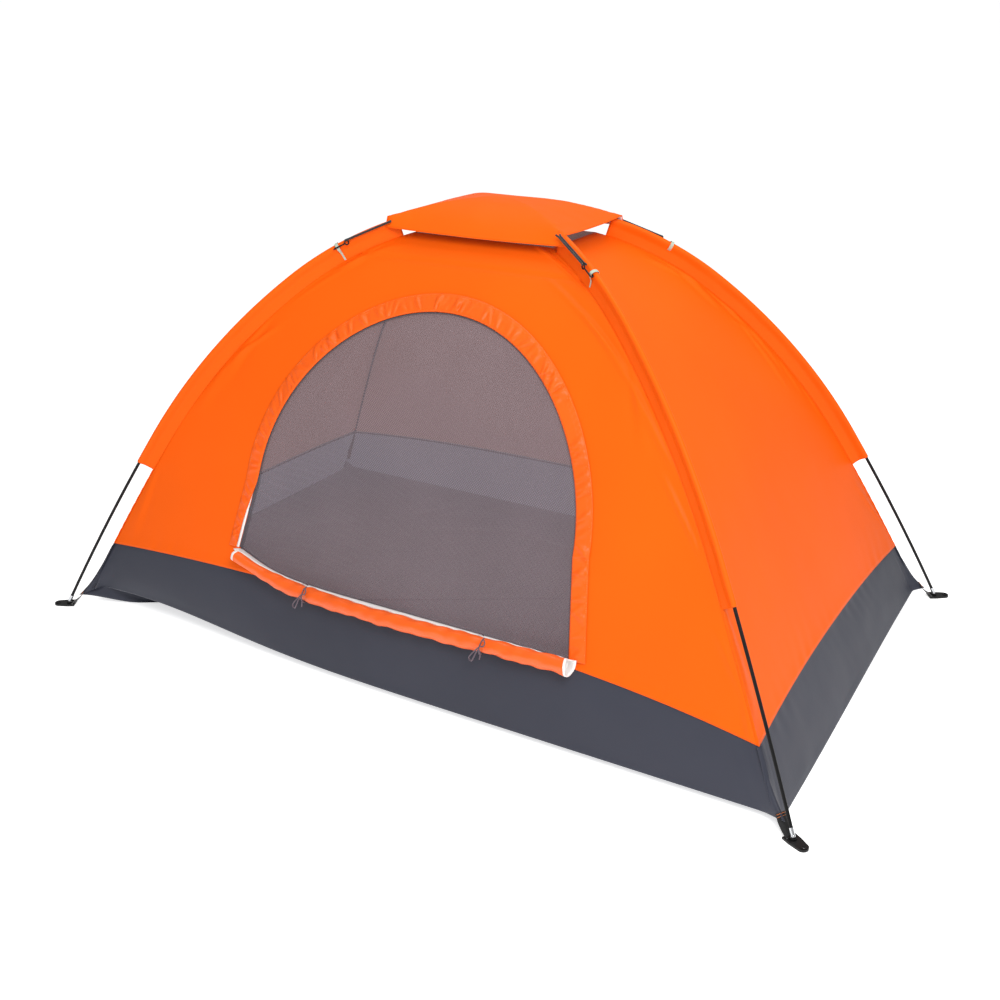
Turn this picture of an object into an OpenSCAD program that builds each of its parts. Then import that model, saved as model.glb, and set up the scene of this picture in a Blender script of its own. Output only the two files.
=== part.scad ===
// Dome tent for two, pitched on two crossed fibreglass poles.
// +X runs along the long side, to the right of someone facing the door, +Y runs to the back
// and +Z is up. The origin is on the ground at the middle of the floor.
// Each pole is a chain of arcs that meet tangent to tangent. The tent body is a cross vault
// hung inside the poles, so its four corner seams follow them at the width of the pole sleeves.

/* [Poles] */
// Distance between the pole feet along the long side
span_x = 2060; // [1700:10:2500]
// Distance between the pole feet along the short side
span_y = 1250; // [1000:10:1550]
// Lean of a pole above the ground at its foot, in degrees
foot_lean = 61.9; // [54:0.1:66]
// How much more a pole bends near its crown than an even bow, as a share
crown_bend = 0.27; // [0:0.01:0.32]
// Outer diameter of a fibreglass rod
rod_d = 7.9; // [6.5:0.1:11]
// Diameter of the hole along a rod
rod_bore_d = 4.4; // [3:0.1:5]
// Diameter of the shock cord inside the rods
shock_cord_d = 2.6; // [1.5:0.1:2.8]
// Wall of the steel ferrules and pole tips
ferrule_wall = 0.7; // [0.5:0.1:1.2]
// Length of a ferrule
ferrule_len = 44; // [30:2:50]
// Length of the steel sleeve on the end of a pole
tip_len = 18; // [12:1:40]

/* [Feet] */
// Thickness of a foot's plate
foot_t = 5; // [4:0.5:8]
// Width of a foot's plate
foot_w = 32; // [28:1:44]
// Reach of a foot beyond the line of its pole
foot_reach = 36; // [30:1:60]
// Diameter of the peg hole
peg_hole_d = 8.5; // [6:0.5:11]
// Diameter of the swivel pin under a pole tip
pin_d = 5; // [4:0.5:6]
// Width of the strap that ties a floor corner to its foot
strap_w = 22; // [15:1:24]
// Thickness of the strap
strap_t = 1.6; // [1:0.1:2.5]

/* [Tent body] */
// Distance from a pole's centre line to the corner seam of the body
sleeve_w = 40; // [30:1:60]
// Thickness of the walls, measured square to the corner seams
fabric_t = 2; // [1.4:0.1:3]
// Thickness of the floor sheet
floor_t = 1.2; // [1:0.1:3]
// Height of the tub wall around the floor
band_h = 180; // [120:5:240]
// Bare length of pole between a foot and the sleeve
sleeve_start = 482; // [300:5:560]
// Distance along a pole from the crossing to the upper end of the sleeve
sleeve_end = 265; // [180:5:320]
// Wall of the sleeve's tunnel round the pole
sleeve_t = 1; // [0.6:0.1:2]

/* [Door] */
// Height of the door's sill
sill_z = 214; // [190:2:280]
// Width of the door at the sill
sill_w = 964; // [700:4:1100]
// Radius of the door's round top
door_r = 450; // [340:5:470]
// Height of the centre of the round top
door_arc_z = 428; // [380:2:460]
// Width of the storm flap round the door
flap_w = 30; // [20:1:40]
// Width of one half of the zip
zip_half_w = 4; // [3:0.5:6]
// Diameter of the rolled door panel
roll_d = 42; // [30:1:60]
// Distance of each tie from the middle of the roll
tie_x = 257; // [150:1:380]
// Diameter of the elastic ties
tie_d = 3; // [2:0.5:4]

/* [Rain cover] */
// Distance along a pole from the crossing to the corner of the rain cover
cover_corner = 290; // [275:5:340]
// Gap between the sleeves and the cover
cover_gap = 5; // [4.5:0.5:10]
// Distance along a pole from the crossing to the webbing loop
loop_at = 430; // [410:5:500]
// Width of the webbing loop
loop_w = 10; // [6:1:16]
// Thickness of the webbing loop
loop_t = 1.2; // [0.8:0.1:2]
// Thickness of the plastic hook
hook_d = 3.6; // [3:0.1:4]
// Diameter of the elastic cord of a bungee
bungee_d = 3; // [2:0.5:3]
// Length of a bungee between the cover and its hook
bungee_len = 110; // [60:5:125]

/* [Hidden] */
$fn = 48;
CORNERS = ["fl", "fr", "br", "bl"];

// Clearances
fit = 0.15;         // round a rod in its ferrule, on the radius
pin_fit = 0.1;      // round a swivel pin, on the radius
apart = 0.4;        // between pieces on different moving bodies
big = 4000;         // longer than the tent

half_diag = sqrt(span_x * span_x + span_y * span_y) / 2;
diag = atan2(span_y, span_x);
rod_r = rod_d / 2;
ferrule_r = rod_r + fit + ferrule_wall;

// Each half of a pole is three rods, counted from the foot, and each rod bends to one arc
ARCS = 3;
STEPS = 8;          // wall facets along one arc

// Direction above the ground of a pole at the share s of its length
function lean_at(s, lean) = lean * cos(180 * s) * (1 + crown_bend * (1 - pow(cos(180 * s), 2)));
function arc_lean(i, lean) = lean_at(i / (2 * ARCS), lean);
function turn(i, lean) = arc_lean(i, lean) - arc_lean(i + 1, lean);
function radians(a) = a * PI / 180;
// Run and rise from the foot to the start of arc i, for arcs of length 1
function chord(i, lean) = 2 * sin(turn(i, lean) / 2) / radians(turn(i, lean));
function chord_lean(i, lean) = (arc_lean(i, lean) + arc_lean(i + 1, lean)) / 2;
function run(i, lean) = i == 0 ? 0 : run(i - 1, lean) + chord(i - 1, lean) * cos(chord_lean(i - 1, lean));
function rise(i, lean) = i == 0 ? 0 : rise(i - 1, lean) + chord(i - 1, lean) * sin(chord_lean(i - 1, lean));
function arc_len(lean) = half_diag / run(ARCS, lean);
function arc_r(i, lean) = arc_len(lean) / radians(turn(i, lean));
function half_len(lean) = ARCS * arc_len(lean);
function crown_z(lean) = arc_len(lean) * rise(ARCS, lean);
// Centre of arc i, as distance out from the tent's axis and height
function arc_centre(i, lean) = [
    half_diag - arc_len(lean) * run(i, lean) - arc_r(i, lean) * sin(arc_lean(i, lean)),
    arc_len(lean) * rise(i, lean) - arc_r(i, lean) * cos(arc_lean(i, lean))];
// Lean, and the point at a distance inside the pole's centre line, at the length d from the foot
function arc_at(d, lean) = min(ARCS - 1, max(0, floor(d / arc_len(lean))));
function lean_on_arc(i, d, lean) = arc_lean(i, lean) - turn(i, lean) * (d / arc_len(lean) - i);
function lean_here(d, lean) = lean_on_arc(arc_at(d, lean), d, lean);
function pole_point(d, lean, inside = 0) =
    let (i = arc_at(d, lean), a = lean_here(d, lean), r = arc_r(i, lean) - inside, c = arc_centre(i, lean))
    [c[0] + r * sin(a), c[1] + r * cos(a)];

// Pole a crosses under pole b, which leans a little more so that its crown is higher
cross_h = 2 * ferrule_r + apart;
over_lean = foot_lean + cross_h / (crown_z(foot_lean + 1) - crown_z(foot_lean));

// The four corners: direction seen from above, lean of the pole and the side the bungee lies on
function corner_turn(c) = c == "fl" ? 180 + diag : c == "fr" ? -diag : c == "br" ? diag : 180 - diag;
function corner_lean(c) = c == "fl" || c == "br" ? foot_lean : over_lean;
function corner_side(c) = c == "fl" || c == "br" ? 1 : -1;

module at_corner(c) {
    rotate([0, 0, corner_turn(c)]) children();
}

// Sweeps a flat shape along the circle of arc i, between two lengths from the foot
module along_arc(i, lean, from, to) {
    a0 = lean_on_arc(i, from, lean);
    a1 = lean_on_arc(i, to, lean);
    c = arc_centre(i, lean);
    translate([c[0], 0, c[1]])
        rotate([90, 0, 0])
        rotate([0, 0, 90 - a0])
        rotate_extrude(angle = a0 - a1, $fn = 720)
        translate([arc_r(i, lean), 0])
        children();
}
// Outline of the strip along a pole between two lengths from the foot, in the corner's plane
function strip(lean, from, to, out, inside) =
    let (n = ceil((to - from) * STEPS / arc_len(lean)),
         d = [for (k = [0 : n]) from + (to - from) * k / n])
    concat([for (x = d) pole_point(x, lean, -out)],
           [for (k = [n : -1 : 0]) pole_point(d[k], lean, inside)]);
module pole_strip(lean, from, to, out, inside, width) {
    translate([0, width / 2, 0])
        rotate([90, 0, 0])
        linear_extrude(height = width)
        polygon(strip(lean, from, to, out, inside));
}

// Pole tip: the ball stands on the foot, and the sleeve leans along the pole
ball_z = foot_t + apart + ferrule_r + 0.4;
ball_r = ferrule_r + 0.4;
function ball_at(lean) = ball_z / sin(lean);
function pin_x(lean) = half_diag - ball_z / tan(lean);
rod_seat = 5;       // solid length between the ball's centre and the rod's end
pin_depth = 4;      // depth of the pin in the foot

module along_tip(lean) {
    translate([half_diag, 0, 0]) rotate([0, lean - 90, 0]) children();
}

module pole_rod(p, n) {
    near = n <= 3;
    c = p == "a" ? (near ? "fl" : "br") : (near ? "fr" : "bl");
    lean = corner_lean(c);
    k = near ? n - 1 : 6 - n;
    first = k == 0 ? ball_at(lean) + rod_seat : k * arc_len(lean);
    color("#1b1b1d")
    at_corner(c)
    along_arc(k, lean, first, (k + 1) * arc_len(lean))
    difference() {
        circle(d = rod_d);
        circle(d = rod_bore_d);
    }
}

// A ferrule stays on the circle of the rod that it is glued to
module ferrule(c, k, before, after) {
    joint = k * arc_len(corner_lean(c));
    at_corner(c)
    along_arc(k - 1, corner_lean(c), joint - before, joint + after)
    difference() {
        circle(r = ferrule_r);
        circle(r = rod_r + fit);
    }
}
module pole_ferrules() {
    half = ferrule_len / 2;
    color("#a9acb0") {
        for (c = CORNERS, k = [1 : ARCS - 1]) ferrule(c, k, half, half);
        for (c = ["fl", "fr"]) ferrule(c, ARCS, half, half);
    }
}

// The shock cord runs in the rods from tip to tip, as one tube through rings of points
cord_rings = 24;    // in each half of a pole
cord_sides = 8;
function cord_ring(p, lean) = [
    for (i = [0 : cord_sides - 1])
        let (a = 360 * i / cord_sides, r = shock_cord_d / 2 * cos(a))
        [p[0] + r * sin(lean), shock_cord_d / 2 * sin(a), p[1] + r * cos(lean)]];
module shock_cord(c) {
    lean = corner_lean(c);
    end = ball_at(lean) + rod_seat;
    rings = [
        for (k = [0 : 2 * cord_rings])
            let (far = k > cord_rings, j = far ? 2 * cord_rings - k : k,
                 d = end + (half_len(lean) - end) * j / cord_rings,
                 p = pole_point(d, lean), a = lean_here(d, lean))
            cord_ring(far ? [-p[0], p[1]] : p, far ? -a : a)];
    n = len(rings);
    color("#d8d8d4")
    at_corner(c)
    polyhedron(
        points = [for (ring = rings) each ring],
        faces = concat(
            [[for (i = [0 : cord_sides - 1]) i]],
            [[for (i = [cord_sides - 1 : -1 : 0]) (n - 1) * cord_sides + i]],
            [for (k = [0 : n - 2], i = [0 : cord_sides - 1])
                let (j = (i + 1) % cord_sides)
                [k * cord_sides + j, k * cord_sides + i, (k + 1) * cord_sides + i, (k + 1) * cord_sides + j]]));
}

module pole_tip(c) {
    lean = corner_lean(c);
    color("#c9ccd0")
    at_corner(c) {
        difference() {
            union() {
                along_tip(lean) translate([0, 0, ball_at(lean)]) cylinder(r = ferrule_r, h = tip_len);
                translate([pin_x(lean), 0, ball_z]) sphere(r = ball_r);
            }
            along_tip(lean)
                translate([0, 0, ball_at(lean) + rod_seat])
                cylinder(r = rod_r + fit, h = tip_len);
        }
        translate([pin_x(lean), 0, foot_t - pin_depth])
            cylinder(d = pin_d, h = ball_z - foot_t + pin_depth);
    }
}

// Foot: a flat plate with a peg hole outside, a cup for the pole tip and a slot for the strap
foot_inner = 20;    // reach of the plate towards the tent
foot_nose_r = 13;   // radius of the outer end
slot_w = 5;         // width of the strap slot
bar_w = 4;          // bar the strap turns round
peg_x = foot_reach - foot_nose_r + 4;
rim_r = peg_hole_d / 2 + 3;
rim_h = 1;          // height of the rim round the peg hole
cup_gap = 0.6;      // round the ball of the pole tip
cup_wall = 2.6;
cup_h = 3;

module foot(c) {
    lean = corner_lean(c);
    pin = pin_x(lean) - half_diag;
    slot_l = strap_w + 4;
    color("#17181a")
    at_corner(c)
    translate([half_diag, 0, 0])
    difference() {
        union() {
            linear_extrude(height = foot_t)
                polygon([
                    [-foot_inner, -foot_w / 2], [0, -foot_w / 2], [foot_reach - foot_nose_r, -foot_nose_r],
                    [foot_reach - foot_nose_r, foot_nose_r], [0, foot_w / 2], [-foot_inner, foot_w / 2]]);
            translate([foot_reach - foot_nose_r, 0, 0]) cylinder(r = foot_nose_r, h = foot_t);
            translate([peg_x, 0, 0]) cylinder(r = rim_r, h = foot_t + rim_h);
            translate([pin, 0, 0]) cylinder(r = ball_r + cup_gap + cup_wall, h = foot_t + cup_h);
        }
        translate([pin, 0, foot_t]) cylinder(r = ball_r + cup_gap, h = cup_h + 1);
        translate([pin, 0, foot_t - pin_depth - apart]) cylinder(d = pin_d + 2 * pin_fit, h = foot_t);
        translate([peg_x, 0, -1]) cylinder(d = peg_hole_d, h = foot_t + rim_h + 2);
        translate([-foot_inner + bar_w, -slot_l / 2, -1]) cube([slot_w, slot_l, foot_t + 2]);
        // The cup is cut away where the pole leans over it
        translate([pin - 30, -3, foot_t + 1]) cube([30, 6, cup_h]);
    }
}

// Strap: from the corner of the tub down to the bar of the foot
strap_top_z = 30;

module corner_strap(c) {
    top_x = pole_x_at_seam(strap_top_z) + 1;
    low_x = half_diag - foot_inner + bar_w / 2;
    low_z = foot_t + apart;
    color("#202124")
    at_corner(c)
    translate([0, strap_w / 2, 0])
    rotate([90, 0, 0])
    linear_extrude(height = strap_w)
    polygon([[top_x, strap_top_z], [low_x, low_z], [low_x + strap_t, low_z], [low_x + strap_t, low_z + strap_t],
             [top_x + strap_t, strap_top_z + strap_t], [top_x, strap_top_z + strap_t]]);
}
// Where the corner seam is at a height near the ground
function pole_x_at_seam(z) = let (p = pole_point(0, foot_lean, sleeve_w)) p[0] - (z - p[1]) / tan(foot_lean);

// Cross vault that hangs a distance inside the poles of the given lean
function vault_side(lean, inside, share) = [
    for (k = [0 : ARCS * STEPS])
        let (p = pole_point(k * arc_len(lean) / STEPS, lean, inside))
        [p[0] * share, p[1]]];
function both_sides(half) = concat(half, [for (k = [len(half) - 2 : -1 : 0]) [-half[k][0], half[k][1]]]);

module vault(lean, inside) {
    intersection() {
        rotate([90, 0, 0])
            linear_extrude(height = big, center = true)
            polygon(both_sides(vault_side(lean, inside, cos(diag))));
        rotate([90, 0, 90])
            linear_extrude(height = big, center = true)
            polygon(both_sides(vault_side(lean, inside, sin(diag))));
    }
}
module slab(low, high) {
    translate([-big / 2, -big / 2, low]) cube([big, big, high - low]);
}
// The quarter of the plan that belongs to one wall, which faces the direction a
module quarter(a, half_angle) {
    rotate([0, 0, a])
        linear_extrude(height = big, center = true)
        polygon([[0, 0], [big, -big * tan(half_angle)], [big, big * tan(half_angle)]]);
}
module front_quarter() {
    quarter(-90, 90 - diag);
}
module body_skin() {
    difference() {
        vault(foot_lean, sleeve_w);
        vault(foot_lean, sleeve_w + fabric_t);
    }
}

vent_z = pole_point(half_len(foot_lean) - sleeve_end, foot_lean, sleeve_w)[1];
vent_t = 1;

module wall(a, half_angle) {
    intersection() {
        body_skin();
        slab(band_h, vent_z);
        quarter(a, half_angle);
    }
}

// Door outline, seen from the front, grown by a distance
module door_outline(grow) {
    intersection() {
        union() {
            translate([0, door_arc_z]) circle(r = door_r + grow, $fn = 96);
            polygon([
                [-sill_w / 2 - grow, sill_z], [sill_w / 2 + grow, sill_z],
                [door_r + grow, door_arc_z], [-door_r - grow, door_arc_z]]);
        }
        translate([-big / 2, sill_z]) square([big, big]);
    }
}
module door_prism() {
    rotate([90, 0, 0]) linear_extrude(height = big) children();
}

// The outer half of the zip is on the wall and the inner half on the mesh door
zip_gap = 1.4;
zip_in = zip_half_w + zip_gap;
fold_gap = 1.8;     // below the mesh door, where it folds

module front_wall() {
    color("#f26a1b")
    difference() {
        wall(-90, 90 - diag);
        door_prism() door_outline(0);
    }
}
module side_wall(a) {
    color("#ee6214") wall(a, diag);
}
module back_wall() {
    color("#f26a1b") wall(90, 90 - diag);
}

module floor_tub() {
    color("#484d57")
    difference() {
        intersection() {
            vault(foot_lean, sleeve_w);
            slab(0, band_h);
        }
        intersection() {
            vault(foot_lean, sleeve_w + fabric_t);
            slab(floor_t, big);
        }
    }
}

module vent_mesh() {
    color("#8a7a80")
    intersection() {
        vault(foot_lean, sleeve_w);
        slab(vent_z, vent_z + vent_t);
    }
}

// Sleeve: a flat tunnel round the pole and a fin down to the corner seam
module pole_sleeve(c) {
    lean = corner_lean(c);
    top = half_len(lean) - sleeve_end;
    tunnel_r = ferrule_r + 2 * apart;
    outer_r = tunnel_r + sleeve_t;
    color("#ff7d26")
    difference() {
        at_corner(c)
        difference() {
            union() {
                pole_strip(lean, sleeve_start, top, outer_r, outer_r, 2 * outer_r);
                pole_strip(lean, sleeve_start, top, 0, sleeve_w + cross_h, 2 * sleeve_t);
            }
            pole_strip(lean, sleeve_start - 1, top + 1, tunnel_r, tunnel_r, 2 * tunnel_r);
        }
        vault(foot_lean, sleeve_w);
    }
}

module door_ring(grow_out, grow_in) {
    door_prism()
    difference() {
        door_outline(grow_out);
        door_outline(grow_in);
    }
}
module mesh_door() {
    color("#837b81")
    intersection() {
        body_skin();
        front_quarter();
        door_prism() intersection() {
            door_outline(-zip_in - zip_half_w);
            translate([-big / 2, sill_z + fold_gap]) square([big, big]);
        }
    }
}
module mesh_zip_wall_half() {
    color("#2c2c30")
    intersection() {
        body_skin();
        front_quarter();
        door_ring(0, -zip_half_w);
    }
}
module mesh_zip_door_half() {
    color("#2c2c30")
    intersection() {
        body_skin();
        front_quarter();
        slab(sill_z + fold_gap, big);
        door_ring(-zip_in, -zip_in - zip_half_w);
    }
}

// Surface of the front wall: how far it stands out from the middle of the tent at a height
function front_y(z, inside = sleeve_w) =
    let (pts = vault_side(foot_lean, inside, sin(diag)),
         k = max([for (i = [0 : len(pts) - 2]) pts[i][1] <= z ? i : 0]),
         share = (z - pts[k][1]) / (pts[k + 1][1] - pts[k][1]))
    pts[k][0] + (pts[k + 1][0] - pts[k][0]) * share;

// The sliders run up the straight sides of the door. side is 1 on the right and -1 on the left.
slide_low = sill_z + 14;
slide_high = door_arc_z;
function side_x(z) = sill_w / 2 + (door_r - sill_w / 2) * (z - sill_z) / (door_arc_z - sill_z);
function side_point(z, out) = [side_x(z) - zip_half_w / 2, -front_y(z) - out, z];

// Places a slider on the side of the door, its z along the side and its -y out of the tent
module on_side(side, out) {
    low = side_point(slide_low, out);
    high = side_point(slide_high, out);
    d = high - low;
    mirror([side < 0 ? 1 : 0, 0, 0])
        translate(low)
        rotate([-atan2(d[1], norm([d[0], d[2]])), atan2(d[0], d[2]), 0])
        children();
}

slider_l = 12;
slider_plate = 1;
slider_gap = 4;      // between the plates: the tape, its curve and clearance
pull_l = 26;
pull_w = 6;

module mesh_zip_slider() {
    color("#3a3b3f")
    on_side(1, 0.4) {
        for (y = [-slider_gap / 2 - slider_plate, slider_gap / 2])
            translate([-zip_half_w / 2 - zip_gap + apart, y, 0])
                cube([zip_half_w + zip_gap - 2 * apart, slider_plate, slider_l]);
        translate([-zip_half_w / 2 - zip_gap + apart, -slider_gap / 2, 0])
            cube([zip_gap - 2 * apart, slider_gap, slider_l]);
        translate([-pull_w / 2 - 1, -slider_gap / 2 - 2 * slider_plate, slider_l - pull_l])
            cube([pull_w, slider_plate, pull_l]);
    }
}

// The outer zip runs on the wall just outside the mesh zip, under the storm flap
door_zip_at = 6;
door_zip_stand = 3;      // measured in the corner planes, as the walls are
door_slider_out = 2.6;   // clear of the tape and of the wall's curve
flap_stand = 15;

module door_zip_tape() {
    color("#2c2c30")
    intersection() {
        difference() {
            vault(foot_lean, sleeve_w - door_zip_stand);
            vault(foot_lean, sleeve_w - 1);
        }
        front_quarter();
        door_ring(door_zip_at + zip_half_w, door_zip_at);
    }
}
module door_zip_slider() {
    color("#3a3b3f")
    on_side(-1, door_slider_out) {
        translate([door_zip_at, -slider_plate, 0]) cube([zip_half_w + 4, slider_plate, slider_l]);
        translate([door_zip_at + 2, -2 * slider_plate, 2]) cube([zip_half_w, slider_plate, slider_l - 4]);
    }
}
module storm_flap() {
    color("#f5752a")
    intersection() {
        difference() {
            vault(foot_lean, sleeve_w - flap_stand);
            vault(foot_lean, sleeve_w - flap_stand + fabric_t);
        }
        front_quarter();
        door_ring(flap_w, 1);
    }
}

// The door panel, rolled up and tied along the sill
tie_gap = 1;
roll_z = sill_z - 6;
roll_y = -front_y(roll_z) - roll_d / 2 - tie_d - 2 * tie_gap;
roll_l = sill_w - 4;

module door_panel_roll() {
    color("#ff8434")
    translate([-roll_l / 2, roll_y, roll_z]) rotate([0, 90, 0]) cylinder(d = roll_d, h = roll_l);
}
// A tie round the roll, with a bow in front
module roll_tie(x) {
    ring_r = roll_d / 2 + tie_gap / 2 + tie_d / 2;
    bow_r = 8;
    color("#7d6a74")
    translate([x, roll_y, roll_z]) {
        rotate([0, 90, 0]) rotate_extrude() translate([ring_r, 0]) circle(d = tie_d);
        translate([0, -ring_r - tie_d / 2 - bow_r / 4, 0]) sphere(d = 2 * tie_d);
        for (s = [-1, 1])
            translate([s * bow_r, -ring_r - tie_d / 2 - bow_r / 4, 0])
                rotate([90, 0, 0])
                rotate_extrude() translate([bow_r - tie_d / 2, 0]) circle(d = tie_d);
    }
}

// Rain cover: a small cross vault that lies over both poles
cover_t = 2;
cover_out = ferrule_r + 2 * apart + sleeve_t + cover_gap;
cover_edge_z = pole_point(half_len(over_lean) - cover_corner, over_lean, -cover_out)[1];

module rain_cover() {
    color("#f77321")
    intersection() {
        difference() {
            vault(over_lean, -cover_out - cover_t);
            vault(over_lean, -cover_out);
        }
        slab(cover_edge_z, big);
    }
}

// Frame at the webbing loop: x down the pole, z out of the tent, y to the bungee's side
module at_loop(c) {
    lean = corner_lean(c);
    d = half_len(lean) - loop_at;
    p = pole_point(d, lean);
    at_corner(c)
        translate([p[0], 0, p[1]])
        rotate([0, lean_here(d, lean), 0])
        mirror([0, corner_side(c) > 0 ? 0 : 1, 0])
        children();
}
loop_gap = hook_d + 2;                                   // room for the hook inside the loop
loop_r = ferrule_r + 2 * apart + sleeve_t + loop_gap;      // inner radius of the loop
loop_open = 70;                                          // angle left open over the sleeve's seam
tip_y = loop_r - loop_gap / 2;                           // the hook's point, inside the loop
bend_r = (loop_gap / 2 + loop_t + 1 + hook_d / 2) / 2;   // the hook's bend round the webbing
shank_y = tip_y + 2 * bend_r;
bend_x = loop_w / 2 + 1;
eye_x = -27;
eye_r = 5;

// The loop's ends are sewn to the fin of the sleeve, one from each side
module cover_loop(c) {
    end_x = (loop_r + loop_t / 2) * cos(loop_open / 2);
    end_y = (loop_r + loop_t / 2) * sin(loop_open / 2);
    tab_l = end_y + loop_t - sleeve_t;
    color("#b9c6bb")
    at_loop(c)
    rotate([0, 90, 0])
    linear_extrude(height = loop_w, center = true) {
        difference() {
            circle(r = loop_r + loop_t);
            circle(r = loop_r);
            polygon([[0, 0], [2 * end_x, -2 * end_y], [2 * end_x, 2 * end_y]]);
        }
        for (y = [sleeve_t, -sleeve_t - tab_l])
            translate([end_x - loop_t / 2, y]) square([loop_t, tab_l]);
    }
}

module cover_hook(c) {
    color("#151517")
    at_loop(c) {
        translate([eye_x, shank_y, 0])
            rotate([90, 0, 0])
            rotate_extrude() translate([eye_r, 0]) circle(d = hook_d);
        translate([eye_x + eye_r, shank_y, 0])
            rotate([0, 90, 0])
            cylinder(d = hook_d, h = bend_x - eye_x - eye_r);
        translate([bend_x, tip_y + bend_r, 0])
            rotate([0, 0, -90])
            rotate_extrude(angle = 180) translate([bend_r, 0]) circle(d = hook_d);
        translate([-loop_w / 2 - 1, tip_y, 0])
            rotate([0, 90, 0])
            cylinder(d = hook_d, h = bend_x + loop_w / 2 + 1);
    }
}

// Bungee: a closed loop of elastic that passes through the hook's eye
module cover_bungee(c) {
    turn_r = eye_r;
    near = eye_x - turn_r;
    color("#1d1d1f")
    at_loop(c) {
        for (s = [-1, 1])
            translate([near - bungee_len, shank_y + s * turn_r, 0])
                rotate([0, 90, 0])
                cylinder(d = bungee_d, h = bungee_len);
        for (end = [0, 1])
            translate([near - end * bungee_len, shank_y, 0])
                rotate([0, 0, end * 180 - 90])
                rotate_extrude(angle = 180) translate([turn_r, 0]) circle(d = bungee_d);
    }
}

for (p = ["a", "b"], i = [1:6])
    pole_rod(p, i);
pole_ferrules();
shock_cord("br");  // pole_a_shock_cord
shock_cord("fr");  // pole_b_shock_cord
for (c = CORNERS) {
    pole_tip(c);
    foot(c);
    corner_strap(c);
    pole_sleeve(c);
    cover_loop(c);
    cover_bungee(c);
    cover_hook(c);
}
front_wall();
side_wall(0);  // right_wall
back_wall();
side_wall(180);  // left_wall
floor_tub();
vent_mesh();
rain_cover();
mesh_door();
mesh_zip_wall_half();
mesh_zip_door_half();
mesh_zip_slider();
door_zip_tape();
door_zip_slider();
storm_flap();
door_panel_roll();
roll_tie(-tie_x);  // roll_tie_left
roll_tie(tie_x);  // roll_tie_right
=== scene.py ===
"""Looks of a small dome tent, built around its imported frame.

Every fabric panel is laid out on the curves of the two crossed poles, creased the way a sewn and
hooked cloth creases, and hung in the place of its plain CAD solid. Metres throughout, +Z up,
+X to the right of someone facing the door and -Y towards them.
"""

import math
import random

import bpy
import numpy as np
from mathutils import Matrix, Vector, noise


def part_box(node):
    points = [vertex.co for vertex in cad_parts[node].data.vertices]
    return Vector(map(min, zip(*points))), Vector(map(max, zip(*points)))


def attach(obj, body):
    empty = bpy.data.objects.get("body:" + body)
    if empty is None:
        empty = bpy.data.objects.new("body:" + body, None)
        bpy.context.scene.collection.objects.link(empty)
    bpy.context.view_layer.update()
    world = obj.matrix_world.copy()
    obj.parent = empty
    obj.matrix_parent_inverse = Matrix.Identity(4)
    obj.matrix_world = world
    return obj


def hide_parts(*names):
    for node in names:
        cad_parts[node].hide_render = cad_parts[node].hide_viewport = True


bl_info = {
    "name": "Dome Tent",
    "version": (1, 0, 0),
    "blender": (4, 5, 0),
    "location": "3D View > Sidebar > Tent",
    "description": "Builds the cloth, cords and finishes of a dome tent on two crossed poles",
    "category": "Add Mesh",
}

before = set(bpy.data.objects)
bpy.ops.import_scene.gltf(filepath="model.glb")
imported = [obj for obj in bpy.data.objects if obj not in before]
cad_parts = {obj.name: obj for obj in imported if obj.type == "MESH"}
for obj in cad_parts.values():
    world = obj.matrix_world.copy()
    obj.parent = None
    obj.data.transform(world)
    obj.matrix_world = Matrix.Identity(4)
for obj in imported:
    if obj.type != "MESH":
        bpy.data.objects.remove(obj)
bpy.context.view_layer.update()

MM = 0.001
UP = np.array([0.0, 0.0, 1.0])
CORNERS = ("fl", "fr", "br", "bl")
# Corners of the pole that passes under the other one
LOWER = ("fl", "br")
# For each side of the tent: the direction to the right of someone facing it, and the way out
SIDES = {
    "front": ((1, 0, 0), (0, -1, 0)),
    "right": ((0, 1, 0), (1, 0, 0)),
    "back": ((-1, 0, 0), (0, 1, 0)),
    "left": ((0, -1, 0), (-1, 0, 0)),
}


def linear(code):
    """The linear colour of an sRGB hex code."""
    shares = [int(code[i:i + 2], 16) / 255 for i in (1, 3, 5)]
    return tuple(c / 12.92 if c <= 0.04045 else ((c + 0.055) / 1.055) ** 2.4 for c in shares)


# ---------------------------------------------------------------- sizes and colours

def length(name, description, default):
    return bpy.props.FloatProperty(name=name, description=description, default=default,
                                   min=0.0, precision=4, unit="LENGTH")


def colour(name, description, code):
    return bpy.props.FloatVectorProperty(name=name, description=description, default=linear(code),
                                         size=3, min=0.0, max=1.0, subtype="COLOR")


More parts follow.
